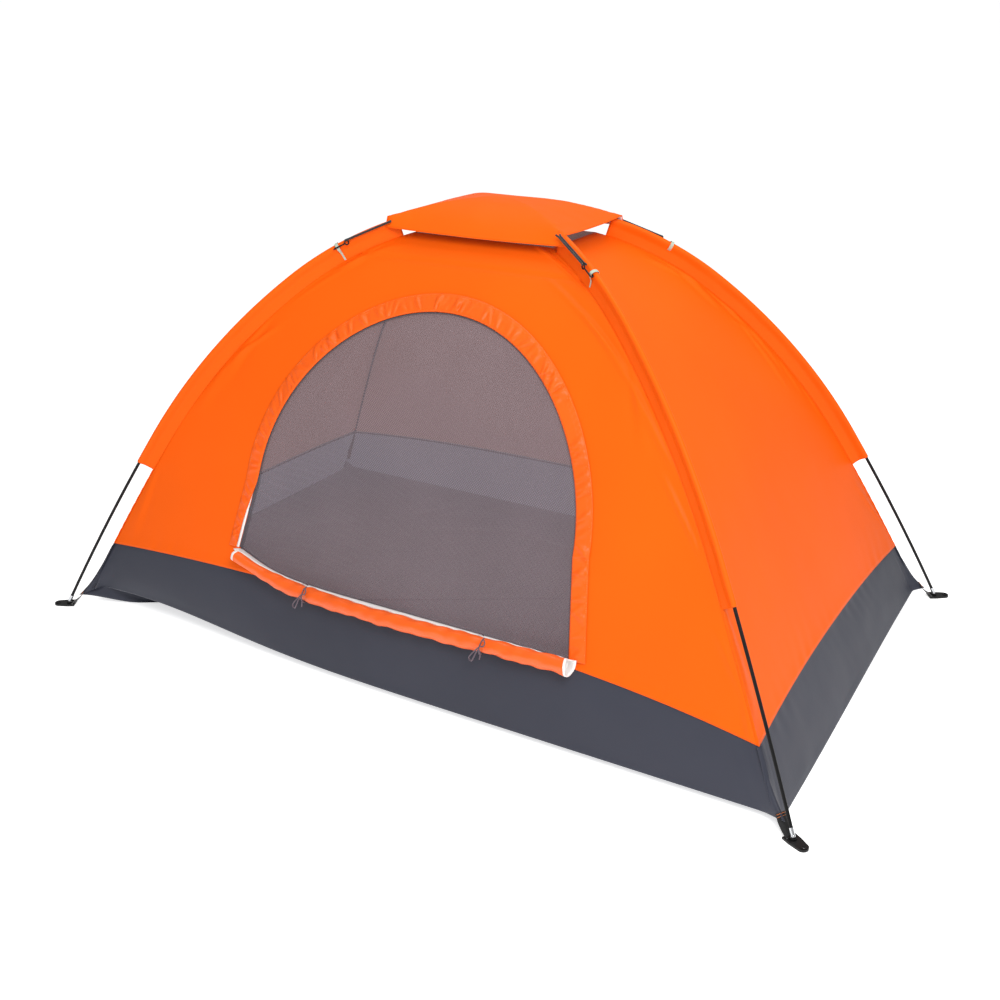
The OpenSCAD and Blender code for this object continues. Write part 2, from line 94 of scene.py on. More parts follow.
class TentSizes(bpy.types.PropertyGroup):
    """Sizes of the poles and of the cloth"""
    span_x: length("Long span", "Distance between the pole feet along the long side", 2.06)
    span_y: length("Short span", "Distance between the pole feet along the short side", 1.25)
    foot_lean: bpy.props.FloatProperty(
        name="Foot lean", description="Lean of a pole above the ground at its foot",
        default=math.radians(61.9), subtype="ANGLE", unit="ROTATION")
    over_lean: bpy.props.FloatProperty(
        name="Upper pole lean", description="Lean at the foot of the pole that crosses over",
        default=math.radians(62.277), subtype="ANGLE", unit="ROTATION")
    crown_bend: bpy.props.FloatProperty(
        name="Crown bend", description="How much more a pole bends near its crown",
        default=0.27, min=0.0, max=0.32, subtype="FACTOR")
    seam_inset: length("Sleeve width", "From a pole's centre line to the corner seam", 0.040)
    sleeve_start: length("Sleeve start", "Bare pole between a foot and the sleeve", 0.482)
    sleeve_end: length("Sleeve end", "From the crossing to the upper end of the sleeve", 0.265)
    door_r: length("Door radius", "Radius of the door's round top", 0.450)
    flap_w: length("Flap width", "Width of the storm flap", 0.032)
    cloth_t: length("Cloth", "Thickness of the tent cloth as drawn", 0.0008)
    bow: length("Wall bow", "How far a wall bows in between its corner seams", 0.007)
    cover_corner: length("Cover corner", "From the crossing to a corner of the rain cover", 0.290)
    zip_w: length("Zip", "Width of one half of the zip", 0.004)
    strap_w: length("Strap", "Width of the strap at a floor corner", 0.025)
    loop_at: length("Loop", "From the crossing to a webbing loop", 0.430)
    cover_drop: length("Cover drop", "How far the cover hangs at the front and back", 0.024)


class TentColours(bpy.types.PropertyGroup):
    """Colours of the cloth and fittings"""
    orange: colour("Orange", "Outside of the tent cloth", "#EE5D0B")
    # The mauve cast of this silver is painted light: the orange light that bounces inside the tent
    silver: colour("Silver", "Coated inside of the tent cloth", "#B9A9AB")
    slate: colour("Slate", "Outside of the tub", "#343641")
    floor: colour("Floor", "Inside of the tub", "#A2A5B0")
    mesh: colour("Mesh", "Insect mesh", "#7E7177")
    dusk: colour("Mesh zip", "Zip tape of the mesh door", "#4E464C")
    white: colour("White", "Zip tape and edge binding", "#E9E8E6")
    mauve: colour("Mauve", "Elastic ties", "#584651")
    sage: colour("Sage", "Webbing loops", "#A9B6A6")
    black: colour("Black", "Rods, straps, feet and hooks", "#0D0D0E")
    stitch: colour("Stitching", "Thread of the bar tacks", "#E8772E")


def sizes():
    return bpy.context.scene.tent_sizes


def colours():
    return bpy.context.scene.tent_colours


# ---------------------------------------------------------------- shape of the tent

RODS_PER_SIDE = 3
CURVE_STEPS = 600


class Pole:
    """Half of a pole from its foot to the crossing: length along it, distance out, height, lean."""

    def __init__(self, lean):
        s = sizes()
        knots = np.linspace(0, 0.5, RODS_PER_SIDE + 1)
        wave = np.cos(np.pi * knots)
        leans = lean * wave * (1 + s.crown_bend * (1 - wave ** 2))
        share = np.linspace(0, 0.5, CURVE_STEPS + 1)
        self.lean = np.interp(share, knots, leans)
        middle = (self.lean[1:] + self.lean[:-1]) / 2
        run = np.concatenate([[0], np.cumsum(np.cos(middle))])
        rise = np.concatenate([[0], np.cumsum(np.sin(middle))])
        half = math.hypot(s.span_x, s.span_y) / 2
        step = half / run[-1]
        self.d = step * np.arange(CURVE_STEPS + 1)
        self.r = half - step * run
        self.z = step * rise
        self.half = self.d[-1]

    def at(self, d, inside=0.0):
        """Distance out, height and lean at a length from the foot, a distance inside the pole."""
        r, z, lean = (np.interp(d, self.d, v) for v in (self.r, self.z, self.lean))
        return r - inside * np.sin(lean), z - inside * np.cos(lean), lean


def diagonal():
    """Direction of the front right and back right corners above +X, in radians."""
    return math.atan2(sizes().span_y, sizes().span_x)


def corner_turn(corner):
    """Direction of a corner above +X, in radians."""
    turns = {"fl": math.pi + diagonal(), "fr": -diagonal(), "br": diagonal(), "bl": math.pi - diagonal()}
    return turns[corner]


def corner_pole(corner):
    """The half pole that comes up from a corner."""
    return Pole(sizes().foot_lean if corner in LOWER else sizes().over_lean)


def body_curve():
    """The curve that the corner seams follow."""
    return Pole(sizes().foot_lean)


def seam_length_at(z):
    """Length along the pole at which the corner seam is at a height."""
    pole = body_curve()
    heights = pole.at(pole.d, sizes().seam_inset)[1]
    return np.interp(z, heights, pole.d)


def skin(side, u, d, lift=0.0):
    """Points on one side of the tent. u runs from -1 at its left seam to 1 at its right one."""
    across, out = (np.array(v, float) for v in SIDES[side])
    wide, deep = math.cos(diagonal()), math.sin(diagonal())
    if side in ("left", "right"):
        wide, deep = deep, wide
    r, z, lean = body_curve().at(d, sizes().seam_inset)
    slope = np.stack([np.sin(lean), deep * np.cos(lean)], -1)
    slope /= np.linalg.norm(slope, axis=-1, keepdims=True)
    # The bow fades out at the seams, the tub and the vent, which the cloth is sewn to
    top = seam_length_at(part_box("vent_mesh")[0].z)
    low = seam_length_at(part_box("front_wall")[0].z)
    fade = np.clip((d - low) * (top - d) / ((top - low) / 2) ** 2, 0, 1)
    push = lift - sizes().bow * (1 - np.asarray(u) ** 2) * fade
    return ((u * r * wide)[..., None] * across + (r * deep + push * slope[..., 0])[..., None] * out
            + (z + push * slope[..., 1])[..., None] * UP)


# Heights of the seam between the cloth and the tub, halfway along a side and at the corners
HEM_MIDDLE = {"front": 0.206, "right": 0.176, "back": 0.200, "left": 0.180}
HEM_CORNER = {"fl": 0.183, "fr": 0.150, "br": 0.155, "bl": 0.160}
# How late along a side the seam drops to its corners
HEM_POWER = {"front": 3.0, "right": 2.2, "back": 3.0, "left": 2.2}
SIDE_ENDS = {"front": ("fl", "fr"), "right": ("fr", "br"), "back": ("br", "bl"), "left": ("bl", "fl")}


def hem_z(side, u):
    """Height of the seam between the orange cloth and the grey tub, lowest at the corners."""
    ends = SIDE_ENDS[side]
    corner = np.where(np.asarray(u) < 0, HEM_CORNER[ends[0]], HEM_CORNER[ends[1]])
    return HEM_MIDDLE[side] + (corner - HEM_MIDDLE[side]) * np.abs(u) ** HEM_POWER[side]


def front_u(x, d):
    """The u of a point on the front at a distance from the middle."""
    r = body_curve().at(d, sizes().seam_inset)[0]
    return x / (r * math.cos(diagonal()))


def front_skin(x, z, lift=0.0):
    """Points on the front from their distance to the right of its middle and their height."""
    d = seam_length_at(z)
    return skin("front", front_u(x, d), d, lift)


def normals(points):
    """Unit normals of a grid of points, its columns to the right and its rows up."""
    n = np.cross(np.gradient(points, axis=1), np.gradient(points, axis=0))
    return n / np.maximum(np.linalg.norm(n, axis=-1, keepdims=True), 1e-9)


def smooth(x):
    """Runs from 0 to 1 as x does, and is level at both ends."""
    x = np.clip(x, 0, 1)
    return x * x * (3 - 2 * x)


# ---------------------------------------------------------------- door outline

OUTLINE_STEP = 0.006
# The pull on the left end of the sill: its height, how far it reaches and how fast it fades
END_PULL, END_REACH, END_FADE = 0.047, 0.105, 1.4


def end_lift(x):
    """How far the sill and the roll are pulled up near their left end."""
    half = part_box("mesh_zip_wall_half")[1].x
    return END_PULL * np.exp(-(np.clip(np.asarray(x) + half, 0, None) / END_REACH) ** END_FADE)


def sill_at(x):
    """Height of the door's sill."""
    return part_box("mesh_zip_wall_half")[0].z + end_lift(x)


def door_outline(grow=0.0):
    """Points in x and z from the left end of the sill, over the top, to its right end."""
    low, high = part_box("mesh_zip_wall_half")
    r = sizes().door_r
    arc_z = high.z - r
    side_n = max(2, round((arc_z - low.z) / OUTLINE_STEP))
    up = np.linspace(float(sill_at(-high.x)), arc_z, side_n, endpoint=False)
    down = np.linspace(arc_z, low.z, side_n + 1)[1:]
    angle = np.linspace(math.pi, 0, round(math.pi * r / OUTLINE_STEP) + 1)
    arc = np.stack([r * np.cos(angle), arc_z + r * np.sin(angle)], -1)
    line = np.concatenate([np.stack([-half_width(up), up], -1), arc, np.stack([half_width(down), down], -1)])
    along = np.gradient(line, axis=0)
    out = np.stack([-along[:, 1], along[:, 0]], -1)
    out /= np.linalg.norm(out, axis=1, keepdims=True)
    # The ends stay level with the sill
    out[0], out[-1] = (-1, 0), (1, 0)
    return line + grow * out


def from_outline(x, z):
    """Distance of points from the door's outline, above 0 outside it, and the nearest point of it."""
    line = door_outline()
    across = np.linspace(line[-1, 0], line[0, 0], round(2 * line[-1, 0] / OUTLINE_STEP))[1:-1]
    line = np.concatenate([line, np.stack([across, sill_at(across)], -1)])
    flat = np.stack([np.ravel(x), np.ravel(z)], -1)
    gap, near = np.empty(len(flat)), np.empty((len(flat), 2))
    for k in range(0, len(flat), 4000):
        part = flat[k:k + 4000]
        dist = np.linalg.norm(part[:, None] - line[None], axis=-1)
        best = dist.argmin(1)
        gap[k:k + 4000], near[k:k + 4000] = dist[np.arange(len(part)), best], line[best]
    half = half_width(flat[:, 1])
    inside = (np.abs(flat[:, 0]) < half) & (flat[:, 1] > sill_at(flat[:, 0]))
    return np.where(inside, -gap, gap).reshape(np.shape(x)), near.reshape(np.shape(x) + (2,))


def half_width(z):
    """Half of the door's width at a height."""
    low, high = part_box("mesh_zip_wall_half")
    r = sizes().door_r
    arc_z = high.z - r
    flare = high.x + (r - high.x) * (z - low.z) / (arc_z - low.z)
    top = np.sqrt(np.clip(r * r - (z - arc_z) ** 2, 0, None))
    return np.where(z < arc_z, flare, top)


# ---------------------------------------------------------------- creases

def rough(points, size, seed=0):
    """Smooth noise from -1 to 1 over a grid of points, with lumps of about the given size."""
    shift = Vector((seed * 7.3, seed * 3.1, seed * 1.7))
    flat = np.reshape(points, (-1, 3)) / size
    return np.reshape([noise.noise(Vector(p) + shift) for p in flat], np.shape(points)[:-1])


def crease(a, b, start, end, depth, width):
    """A fold along a line over flat places a and b: a ridge on one side and a dip on the other."""
    start, end = np.array(start, float), np.array(end, float)
    line = end - start
    span = np.linalg.norm(line)
    t = ((a - start[0]) * line[0] + (b - start[1]) * line[1]) / span ** 2
    away = ((a - start[0]) * line[1] - (b - start[1]) * line[0]) / span
    wide = width * (0.5 + np.clip(t, 0, 1))
    ends = np.sin(np.pi * np.clip(t, 0, 1)) ** 0.7
    return depth * ends * (away / wide * 1.6 + 0.5) * np.exp(-(away / wide) ** 2)


def seam_creases(a, b, reach, seed, count=9):
    """Folds that leave a seam at a = 0 at a small angle, for cloth of height reach in b."""
    rng = random.Random(seed)
    total = np.zeros(np.shape(a))
    for _ in range(count):
        foot = rng.uniform(0.05, 0.9) * reach
        run = rng.uniform(0.10, 0.34) * rng.choice((-1, 1))
        turn_in = abs(run) * rng.uniform(0.10, 0.34)
        start, end = (rng.uniform(0.002, 0.012), foot), (turn_in, foot + run)
        total += crease(a, b, start, end, rng.uniform(1.6, 4.2) * MM, rng.uniform(8, 17) * MM)
    return total


def hem_puckers(a, b, reach, seed, depth=1.0 * MM):
    """Short folds across a hem at b = 0, that die out over the given reach."""
    rng = random.Random(seed)
    waves = [(rng.uniform(0.025, 0.07), rng.uniform(0, 6.28), rng.uniform(-0.5, 0.5)) for _ in range(4)]
    fold = sum(np.sin(2 * math.pi * (a + lean * b) / size + phase) for size, phase, lean in waves)
    swell = 0.5 + 0.5 * np.sin(a * 9 + seed)
    return depth / 2 * fold * swell * np.exp(-b / reach)


# ---------------------------------------------------------------- pieces

def join(name, data, body="root", replaces=()):
    """An object that rides on a body and stands for CAD nodes."""
    obj = bpy.data.objects.new(name, data)
    bpy.context.scene.collection.objects.link(obj)
    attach(obj, body)
    if replaces:
        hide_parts(*replaces)
    return obj


def piece(name, points, faces, body="root", replaces=(), materials=(), uv=None, indices=None):
    """A mesh object that rides on a body, wears materials and stands for CAD nodes."""
    mesh = bpy.data.meshes.new(name)
    mesh.from_pydata([tuple(p) for p in np.reshape(points, (-1, 3))], [], [tuple(f) for f in faces])
    for material in materials:
        mesh.materials.append(material)
    if uv is not None:
        flat = np.reshape(uv, (-1, 2))
        layer = mesh.uv_layers.new(name="flat")
        loops = np.zeros(len(mesh.loops), np.int32)
        mesh.loops.foreach_get("vertex_index", loops)
        layer.data.foreach_set("uv", flat[loops].astype(np.float32).ravel())
    if indices is not None:
        mesh.polygons.foreach_set("material_index", np.asarray(indices, np.int32))
    mesh.polygons.foreach_set("use_smooth", np.ones(len(mesh.polygons), bool))
    mesh.validate()
    return join(name, mesh, body, replaces)


def grid_faces(rows, cols, closed=False, keep=None):
    """Quads of a grid, its columns joined up if closed, without those where keep is false."""
    faces = []
    for i in range(rows - 1):
        for j in range(cols if closed else cols - 1):
            if keep is None or keep[i, j]:
                k = (j + 1) % cols
                faces.append((i * cols + j, i * cols + k, (i + 1) * cols + k, (i + 1) * cols + j))
    return faces


def thicken(obj, thickness, inner=0, rim=0, offset=-1.0):
    """Gives cloth its thickness, with its own material on the inside and at the edge."""
    solid = obj.modifiers.new("cloth", "SOLIDIFY")
    solid.thickness = thickness
    solid.offset = offset
    solid.material_offset = inner
    solid.material_offset_rim = rim
    solid.use_even_offset = False
    return obj


def tube(name, path, radius, finish, sides=10, closed=False, replaces=()):
    """A curve of one poly spline along a path, with a round section. It stays with the tent's body."""
    data = bpy.data.curves.new(name, "CURVE")
    data.dimensions = "3D"
    data.bevel_depth = radius
    data.bevel_resolution = max(1, sides // 4)
    data.use_fill_caps = True
    spline = data.splines.new("POLY")
    spline.points.add(len(path) - 1)
    for point, place in zip(spline.points, path):
        point.co = (*place, 1)
    spline.use_cyclic_u = closed
    spline.use_smooth = True
    data.materials.append(finish)
    return join(name, data, "root", replaces)


def rounded(points, step=0.003):
    """A smooth path through given points, as a Catmull-Rom curve cut into short steps."""
    p = np.array(points, float)
    p = np.concatenate([[2 * p[0] - p[1]], p, [2 * p[-1] - p[-2]]])
    out = []
    for i in range(1, len(p) - 2):
        n = max(2, int(np.linalg.norm(p[i + 1] - p[i]) / step))
        t = np.linspace(0, 1, n, endpoint=False)[:, None]
        out.append(0.5 * (2 * p[i] + (p[i + 1] - p[i - 1]) * t
                          + (2 * p[i - 1] - 5 * p[i] + 4 * p[i + 1] - p[i + 2]) * t ** 2
                          + (3 * p[i] - p[i - 1] - 3 * p[i + 1] + p[i + 2]) * t ** 3))
    return np.concatenate(out + [[p[-2]]])


# ---------------------------------------------------------------- materials

# A wave texture of scale 1 has one band in this length, in metres
WAVE_TURN = 2 * math.pi / 20


def add(tree, kind, inputs=None, **settings):
    """Adds a node with its settings. An input that is a socket is linked, any other is set."""
    made = tree.nodes.new(kind)
    for name, value in settings.items():
        setattr(made, name, value)
    for name, value in (inputs or {}).items():
        if isinstance(value, bpy.types.NodeSocket):
            tree.links.new(value, made.inputs[name])
        else:
            made.inputs[name].default_value = value
    return made


def start(name):
    """An empty material, its node tree and its output."""
    material = bpy.data.materials.get(name)
    if material:
        return material, None, None
    material = bpy.data.materials.new(name)
    material.use_nodes = True
    tree = material.node_tree
    tree.nodes.clear()
    return material, tree, tree.nodes.new("ShaderNodeOutputMaterial")


def rgba(colour, share=1.0):
    return (*(min(1.0, c * share) for c in colour), 1.0)


def tint(tree, factor, colour, dark, light):
    """A colour that runs from a darker to a lighter share of itself with a factor."""
    ramp = add(tree, "ShaderNodeValToRGB", {"Fac": factor})
    ramp.color_ramp.elements[0].color = rgba(colour, dark)
    ramp.color_ramp.elements[1].color = rgba(colour, light)
    return ramp.outputs["Color"]


def woven(name, colour, thread_mm, roughness, sheen=0.0, weave=0.25, crumple=0.3, spread=(0.9, 1.08),
          metallic=0.0, crumple_mm=45.0, specular=0.5, glow=0.0, glow_colour=(1.0, 1.0, 1.0)):
    """Cloth from a plain weave: two crossed sets of threads, and a soft crumple over them."""
    material, tree, out = start(name)
    if tree is None:
        return material
    place = add(tree, "ShaderNodeTexCoord").outputs["Object"]
    # The threads are far finer than this. It is the finest weave that still shows.
    pitch = thread_mm * MM
    warp = add(tree, "ShaderNodeTexWave", {"Vector": place, "Scale": WAVE_TURN / pitch, "Distortion": 0.4},
               bands_direction="X")
    weft = add(tree, "ShaderNodeTexWave", {"Vector": place, "Scale": WAVE_TURN / pitch, "Distortion": 0.4},
               bands_direction="Z")
    threads = add(tree, "ShaderNodeMath", {0: warp.outputs["Fac"], 1: weft.outputs["Fac"]}, operation="ADD")
    soft = add(tree, "ShaderNodeTexNoise",
               {"Vector": place, "Scale": 1 / (crumple_mm * MM), "Detail": 5.0, "Roughness": 0.55})
    broad = add(tree, "ShaderNodeTexNoise", {"Vector": place, "Scale": 3.0, "Detail": 2.0})
    colour_out = tint(tree, broad.outputs["Fac"], colour, *spread)
    fine = add(tree, "ShaderNodeBump",
               {"Height": threads.outputs[0], "Strength": weave, "Distance": 0.15 * MM})
    bump = add(tree, "ShaderNodeBump",
               {"Height": soft.outputs["Fac"], "Strength": crumple, "Distance": 2.0 * MM,
                "Normal": fine.outputs["Normal"]})
    # A glow is emission: painted light that stands in for daylight coming through the cloth
    shader = add(tree, "ShaderNodeBsdfPrincipled",
                 {"Base Color": colour_out, "Roughness": roughness, "Metallic": metallic,
                  "Sheen Weight": sheen, "Sheen Roughness": 0.4, "Normal": bump.outputs["Normal"],
                  "Specular IOR Level": specular, "Emission Color": rgba(glow_colour),
                  "Emission Strength": glow})
    tree.links.new(shader.outputs[0], out.inputs[0])
    return material


def tent_cloth():
    # 190T polyester taffeta, calendered: a satin face with a broad soft highlight
    return woven("polyester_taffeta_calendered", colours().orange, 1.6, 0.46, weave=0.12, crumple=0.12,
                 specular=0.08)


def cover_cloth():
    # The same taffeta, cut on its own for the rain cover
    return woven("polyester_taffeta_cover", colours().orange, 1.6, 0.46, weave=0.12, crumple=0.12,
                 specular=0.08)


def flap_cloth():
    # The same taffeta folded double and sewn down, which puckers more than a single layer
    return woven("polyester_taffeta_doubled", colours().orange, 1.6, 0.44, weave=0.12, specular=0.25,
                 crumple=0.55, crumple_mm=22.0, spread=(0.82, 1.12))


def roll_cloth():
    # The same taffeta in a loose roll, crushed under its ties, with a brighter broken sheen
    return woven("polyester_taffeta_crushed", colours().orange, 1.6, 0.36, sheen=0.04, weave=0.10,
                 crumple=0.8, crumple_mm=26.0, spread=(0.82, 1.15))


def coated_inside():
    # Silver polyurethane coating on the back of the taffeta: a dull grey with a little painted glow,
    # an orange-pink emission that stands in for the daylight behind it
    return woven("polyester_silver_coated", colours().silver, 1.6, 0.5, weave=0.1, crumple=0.25,
                 glow=0.16, glow_colour=linear("#E0A596"))


def roll_lining():
    # The same coating drawn paler than on the inside of the walls, as painted light where it faces the sky: a
    # pale, faintly metallic grey
    return woven("polyester_silver_coated_bright", colours().white, 1.6, 0.4, metallic=0.2, weave=0.1,
                 crumple=0.5)


def tub_cloth():
    # Coated 150D oxford weave: heavier threads and a low sheen
    return woven("polyester_oxford_coated", colours().slate, 2.4, 0.52, sheen=0.03, weave=0.35,
                 crumple=0.18, specular=0.25, spread=(0.86, 1.12))


def floor_cloth():
    # The coated back of the oxford weave, creased from being folded in its bag. It has a little painted
    # glow, a bluish emission that stands in for the daylight that comes through the walls.
    return woven("polyester_oxford_coated_inside", colours().floor, 2.4, 0.5, sheen=0.05, weave=0.2,
                 crumple=0.7, crumple_mm=90.0, glow=0.14, glow_colour=linear("#B4BCD0"))


def floor_sheet():
    # The same cloth lying flat, drawn darker as painted shade where less light gets to it
    return woven("polyester_oxford_coated_floor", colours().floor, 2.4, 0.45, sheen=0.05, weave=0.2,
                 crumple=0.9, crumple_mm=70.0, spread=(0.55, 0.72))


def seam_binding():
    # Woven polyester tape folded over the raw edges of a seam
    return woven("polyester_seam_binding", colours().slate, 1.6, 0.6, sheen=0.1, weave=0.6, crumple=0.1)


def webbing(name, colour):
    # Polyester webbing, woven flat in a heavy twill
    return woven(name, colour, 2.2, 0.7, sheen=0.2, weave=0.9, crumple=0.1)


def knotted_mesh():
    # Polyester tulle, warp knitted: a net of round holes that the light comes through.
    # The real holes are a little over 1 mm and are drawn at 4.4 mm so that they show.
    material, tree, out = start("polyester_tulle_knitted")
    if tree is None:
        return material
    place = add(tree, "ShaderNodeTexCoord").outputs["Object"]
    turned = add(tree, "ShaderNodeMapping", {"Vector": place, "Rotation": (0.0, math.radians(45), 0.0)})
    pitch = 4.4 * MM
    lines = [add(tree, "ShaderNodeTexWave", {"Vector": turned.outputs[0], "Scale": WAVE_TURN / pitch,
                                             "Distortion": 0.0}, bands_direction=axis) for axis in ("X", "Z")]
    net = add(tree, "ShaderNodeMath", {0: lines[0].outputs["Fac"], 1: lines[1].outputs["Fac"]},
              operation="MAXIMUM")
    broad = add(tree, "ShaderNodeTexNoise", {"Vector": place, "Scale": 6.0, "Detail": 4.0})
    share = add(tree, "ShaderNodeMapRange", {"Value": net.outputs[0], "From Min": 0.35, "From Max": 0.95,
                                             "To Min": 0.30, "To Max": 0.66})
    shader = add(tree, "ShaderNodeBsdfPrincipled",
                 {"Base Color": tint(tree, broad.outputs["Fac"], colours().mesh, 0.9, 1.15), "Roughness": 0.7,
                  "Sheen Weight": 0.15, "Alpha": share.outputs[0], "Specular IOR Level": 0.3})
    tree.links.new(shader.outputs[0], out.inputs[0])
    return material


def smooth_part(name, colour, roughness, metallic=0.0, grain_mm=1.2, grain=0.15, coat=0.0, wear=0.25,
                ior=1.5, specular=0.5):
    """A hard part: fine grain in its surface, and roughness that varies with handling."""
    material, tree, out = start(name)
    if tree is None:
        return material
    place = add(tree, "ShaderNodeTexCoord").outputs["Object"]
    fine = add(tree, "ShaderNodeTexNoise", {"Vector": place, "Scale": 1 / (grain_mm * MM), "Detail": 3.0})
    broad = add(tree, "ShaderNodeTexNoise", {"Vector": place, "Scale": 1 / (25 * MM), "Detail": 4.0})
    rub = add(tree, "ShaderNodeMapRange",
              {"Value": broad.outputs["Fac"], "To Min": roughness * (1 - wear),
               "To Max": roughness * (1 + wear)})
    bump = add(tree, "ShaderNodeBump",
               {"Height": fine.outputs["Fac"], "Strength": grain, "Distance": 0.1 * MM})
    values = {"Base Color": tint(tree, broad.outputs["Fac"], colour, 0.85, 1.15), "Roughness": rub.outputs[0],
              "Metallic": metallic, "Coat Weight": coat, "Normal": bump.outputs["Normal"]}
    if not metallic:
        values["IOR"] = ior
        values["Specular IOR Level"] = specular
    shader = add(tree, "ShaderNodeBsdfPrincipled", values)
    tree.links.new(shader.outputs[0], out.inputs[0])
    return material


def braid(name, colour, pitch_mm=3.0, roughness=0.65):
    # Elastic cord in a braided polyester jacket: slanting ribs round the cord
    material, tree, out = start(name)
    if tree is None:
        return material
    place = add(tree, "ShaderNodeTexCoord").outputs["Object"]
    ribs = add(tree, "ShaderNodeTexWave",
               {"Vector": place, "Scale": WAVE_TURN / (pitch_mm * MM), "Distortion": 1.5},
               bands_direction="DIAGONAL")
    bump = add(tree, "ShaderNodeBump", {"Height": ribs.outputs["Fac"], "Strength": 0.8, "Distance": 0.5 * MM})
    shader = add(tree, "ShaderNodeBsdfPrincipled",
                 # The colour follows the ribs: painted shade in the grooves between them and painted light on
                 # their tops
                 {"Base Color": tint(tree, ribs.outputs["Fac"], colour, 0.6, 1.5), "Roughness": roughness,
                  "Sheen Weight": 0.2, "Normal": bump.outputs["Normal"]})
    tree.links.new(shader.outputs[0], out.inputs[0])
    return material


def fibreglass():
    # Pultruded fibreglass rod, gelcoat black: smooth and glossy along its length
    return smooth_part("fibreglass_pultruded_black", colours().black, 0.38, grain=0.05, specular=0.2)


def plated_steel():
    # Drawn steel tube, bright zinc plated: a cool grey mirror gone slightly cloudy
    return smooth_part("steel_zinc_plated", linear("#C9CBCE"), 0.25, metallic=1.0, grain=0.05)


def moulded_nylon():
    # Injection moulded nylon, a fine spark texture from the mould
    return smooth_part("nylon_moulded_black", colours().black, 0.42, grain=0.35, ior=1.53, specular=0.25)


def zip_tape():
    # Woven polyester zip tape and binding: matt white, with a close rib
    return woven("polyester_zip_tape_woven", colours().white, 1.2, 0.65, sheen=0.1, weave=0.6, crumple=0.1)


def mesh_tape():
    # The same tape dyed to go with the mesh
    return woven("polyester_zip_tape_dyed", colours().dusk, 1.2, 0.65, sheen=0.1, weave=0.6, crumple=0.1)


def zinc_slider():
    # Die-cast zinc slider, black enamelled
    return smooth_part("zinc_die_cast_enamelled", colours().black, 0.3, coat=0.5, grain=0.1)


def thread():
    # Bonded nylon thread in tight stitches: a thin twisted line, a shade off the cloth
    return braid("nylon_thread_bonded", colours().stitch, 1.2, 0.5)


# ---------------------------------------------------------------- stage

class TENT_OT_stage(bpy.types.Operator):
    """Camera, floor, world and lights"""
    bl_idname = "tent.stage"
    bl_label = "Stage"

    def execute(self, context):
        scene = context.scene
        azimuth, elevation = math.radians(30.14), math.radians(22.61)
        back = Vector((math.sin(azimuth) * math.cos(elevation), -math.cos(azimuth) * math.cos(elevation),
                       math.sin(elevation)))
        lens = bpy.data.cameras.new("camera")
        lens.sensor_width, lens.lens = 36.0, 45.1
        camera = bpy.data.objects.new("camera", lens)
        camera.location = (1.550, -2.694, 1.595)
        camera.rotation_mode = "QUATERNION"
        camera.rotation_quaternion = (-back).to_track_quat("-Z", "Y")
        scene.collection.objects.link(camera)
        scene.camera = camera
        scene.view_settings.view_transform = "Standard"

        # Wide enough that its far edge never shows, and just under the tent
        half = 400.0
        corners = [(-half, -half), (half, -half), (half, half), (-half, half)]
        mesh = bpy.data.meshes.new("studio_floor")
        mesh.from_pydata([(x, y, -0.5 * MM) for x, y in corners], [], [(0, 1, 2, 3)])
        floor = bpy.data.objects.new("studio_floor", mesh)
        # Matt white paper, lit from behind as well so that it stays even to its far edge
        material, tree, out = start("paper_backdrop_matt")
        shader = add(tree, "ShaderNodeBsdfPrincipled",
                     {"Base Color": rgba(linear("#F4F4F4")), "Roughness": 0.9, "Specular IOR Level": 0.1,
                      "Emission Color": (1.0, 1.0, 1.0, 1.0), "Emission Strength": 0.64})
        tree.links.new(shader.outputs[0], out.inputs[0])
        mesh.materials.append(material)
        scene.collection.objects.link(floor)

        world = bpy.data.worlds.new("studio")
        world.use_nodes = True
        sky = world.node_tree.nodes["Background"]
        sky.inputs["Color"].default_value = (1.0, 1.0, 1.0, 1.0)
        sky.inputs["Strength"].default_value = 0.42
        scene.world = world
        # A broad soft box over the near corner, and a weaker one over the roof
        aim = Vector((0.35, -0.2, 0.75))
        for name, place, size, power in (("key", (2.0, -2.3, 2.8), 1.6, 100.0),
                                         ("top", (0.2, 0.2, 3.2), 2.0, 34.0)):
            lamp = bpy.data.lights.new(name, "AREA")
            lamp.energy, lamp.size = power, size
            lamp_obj = bpy.data.objects.new(name, lamp)
            lamp_obj.location = place
            lamp_obj.rotation_mode = "QUATERNION"
            lamp_obj.rotation_quaternion = (aim - Vector(place)).to_track_quat("-Z", "Y")
            scene.collection.objects.link(lamp_obj)
        return {"FINISHED"}


# ---------------------------------------------------------------- ties (the cords)

# How far along the roll each tie has slipped, left and right
TIE_SHIFT = {-1: 0.022, 1: 0.010}


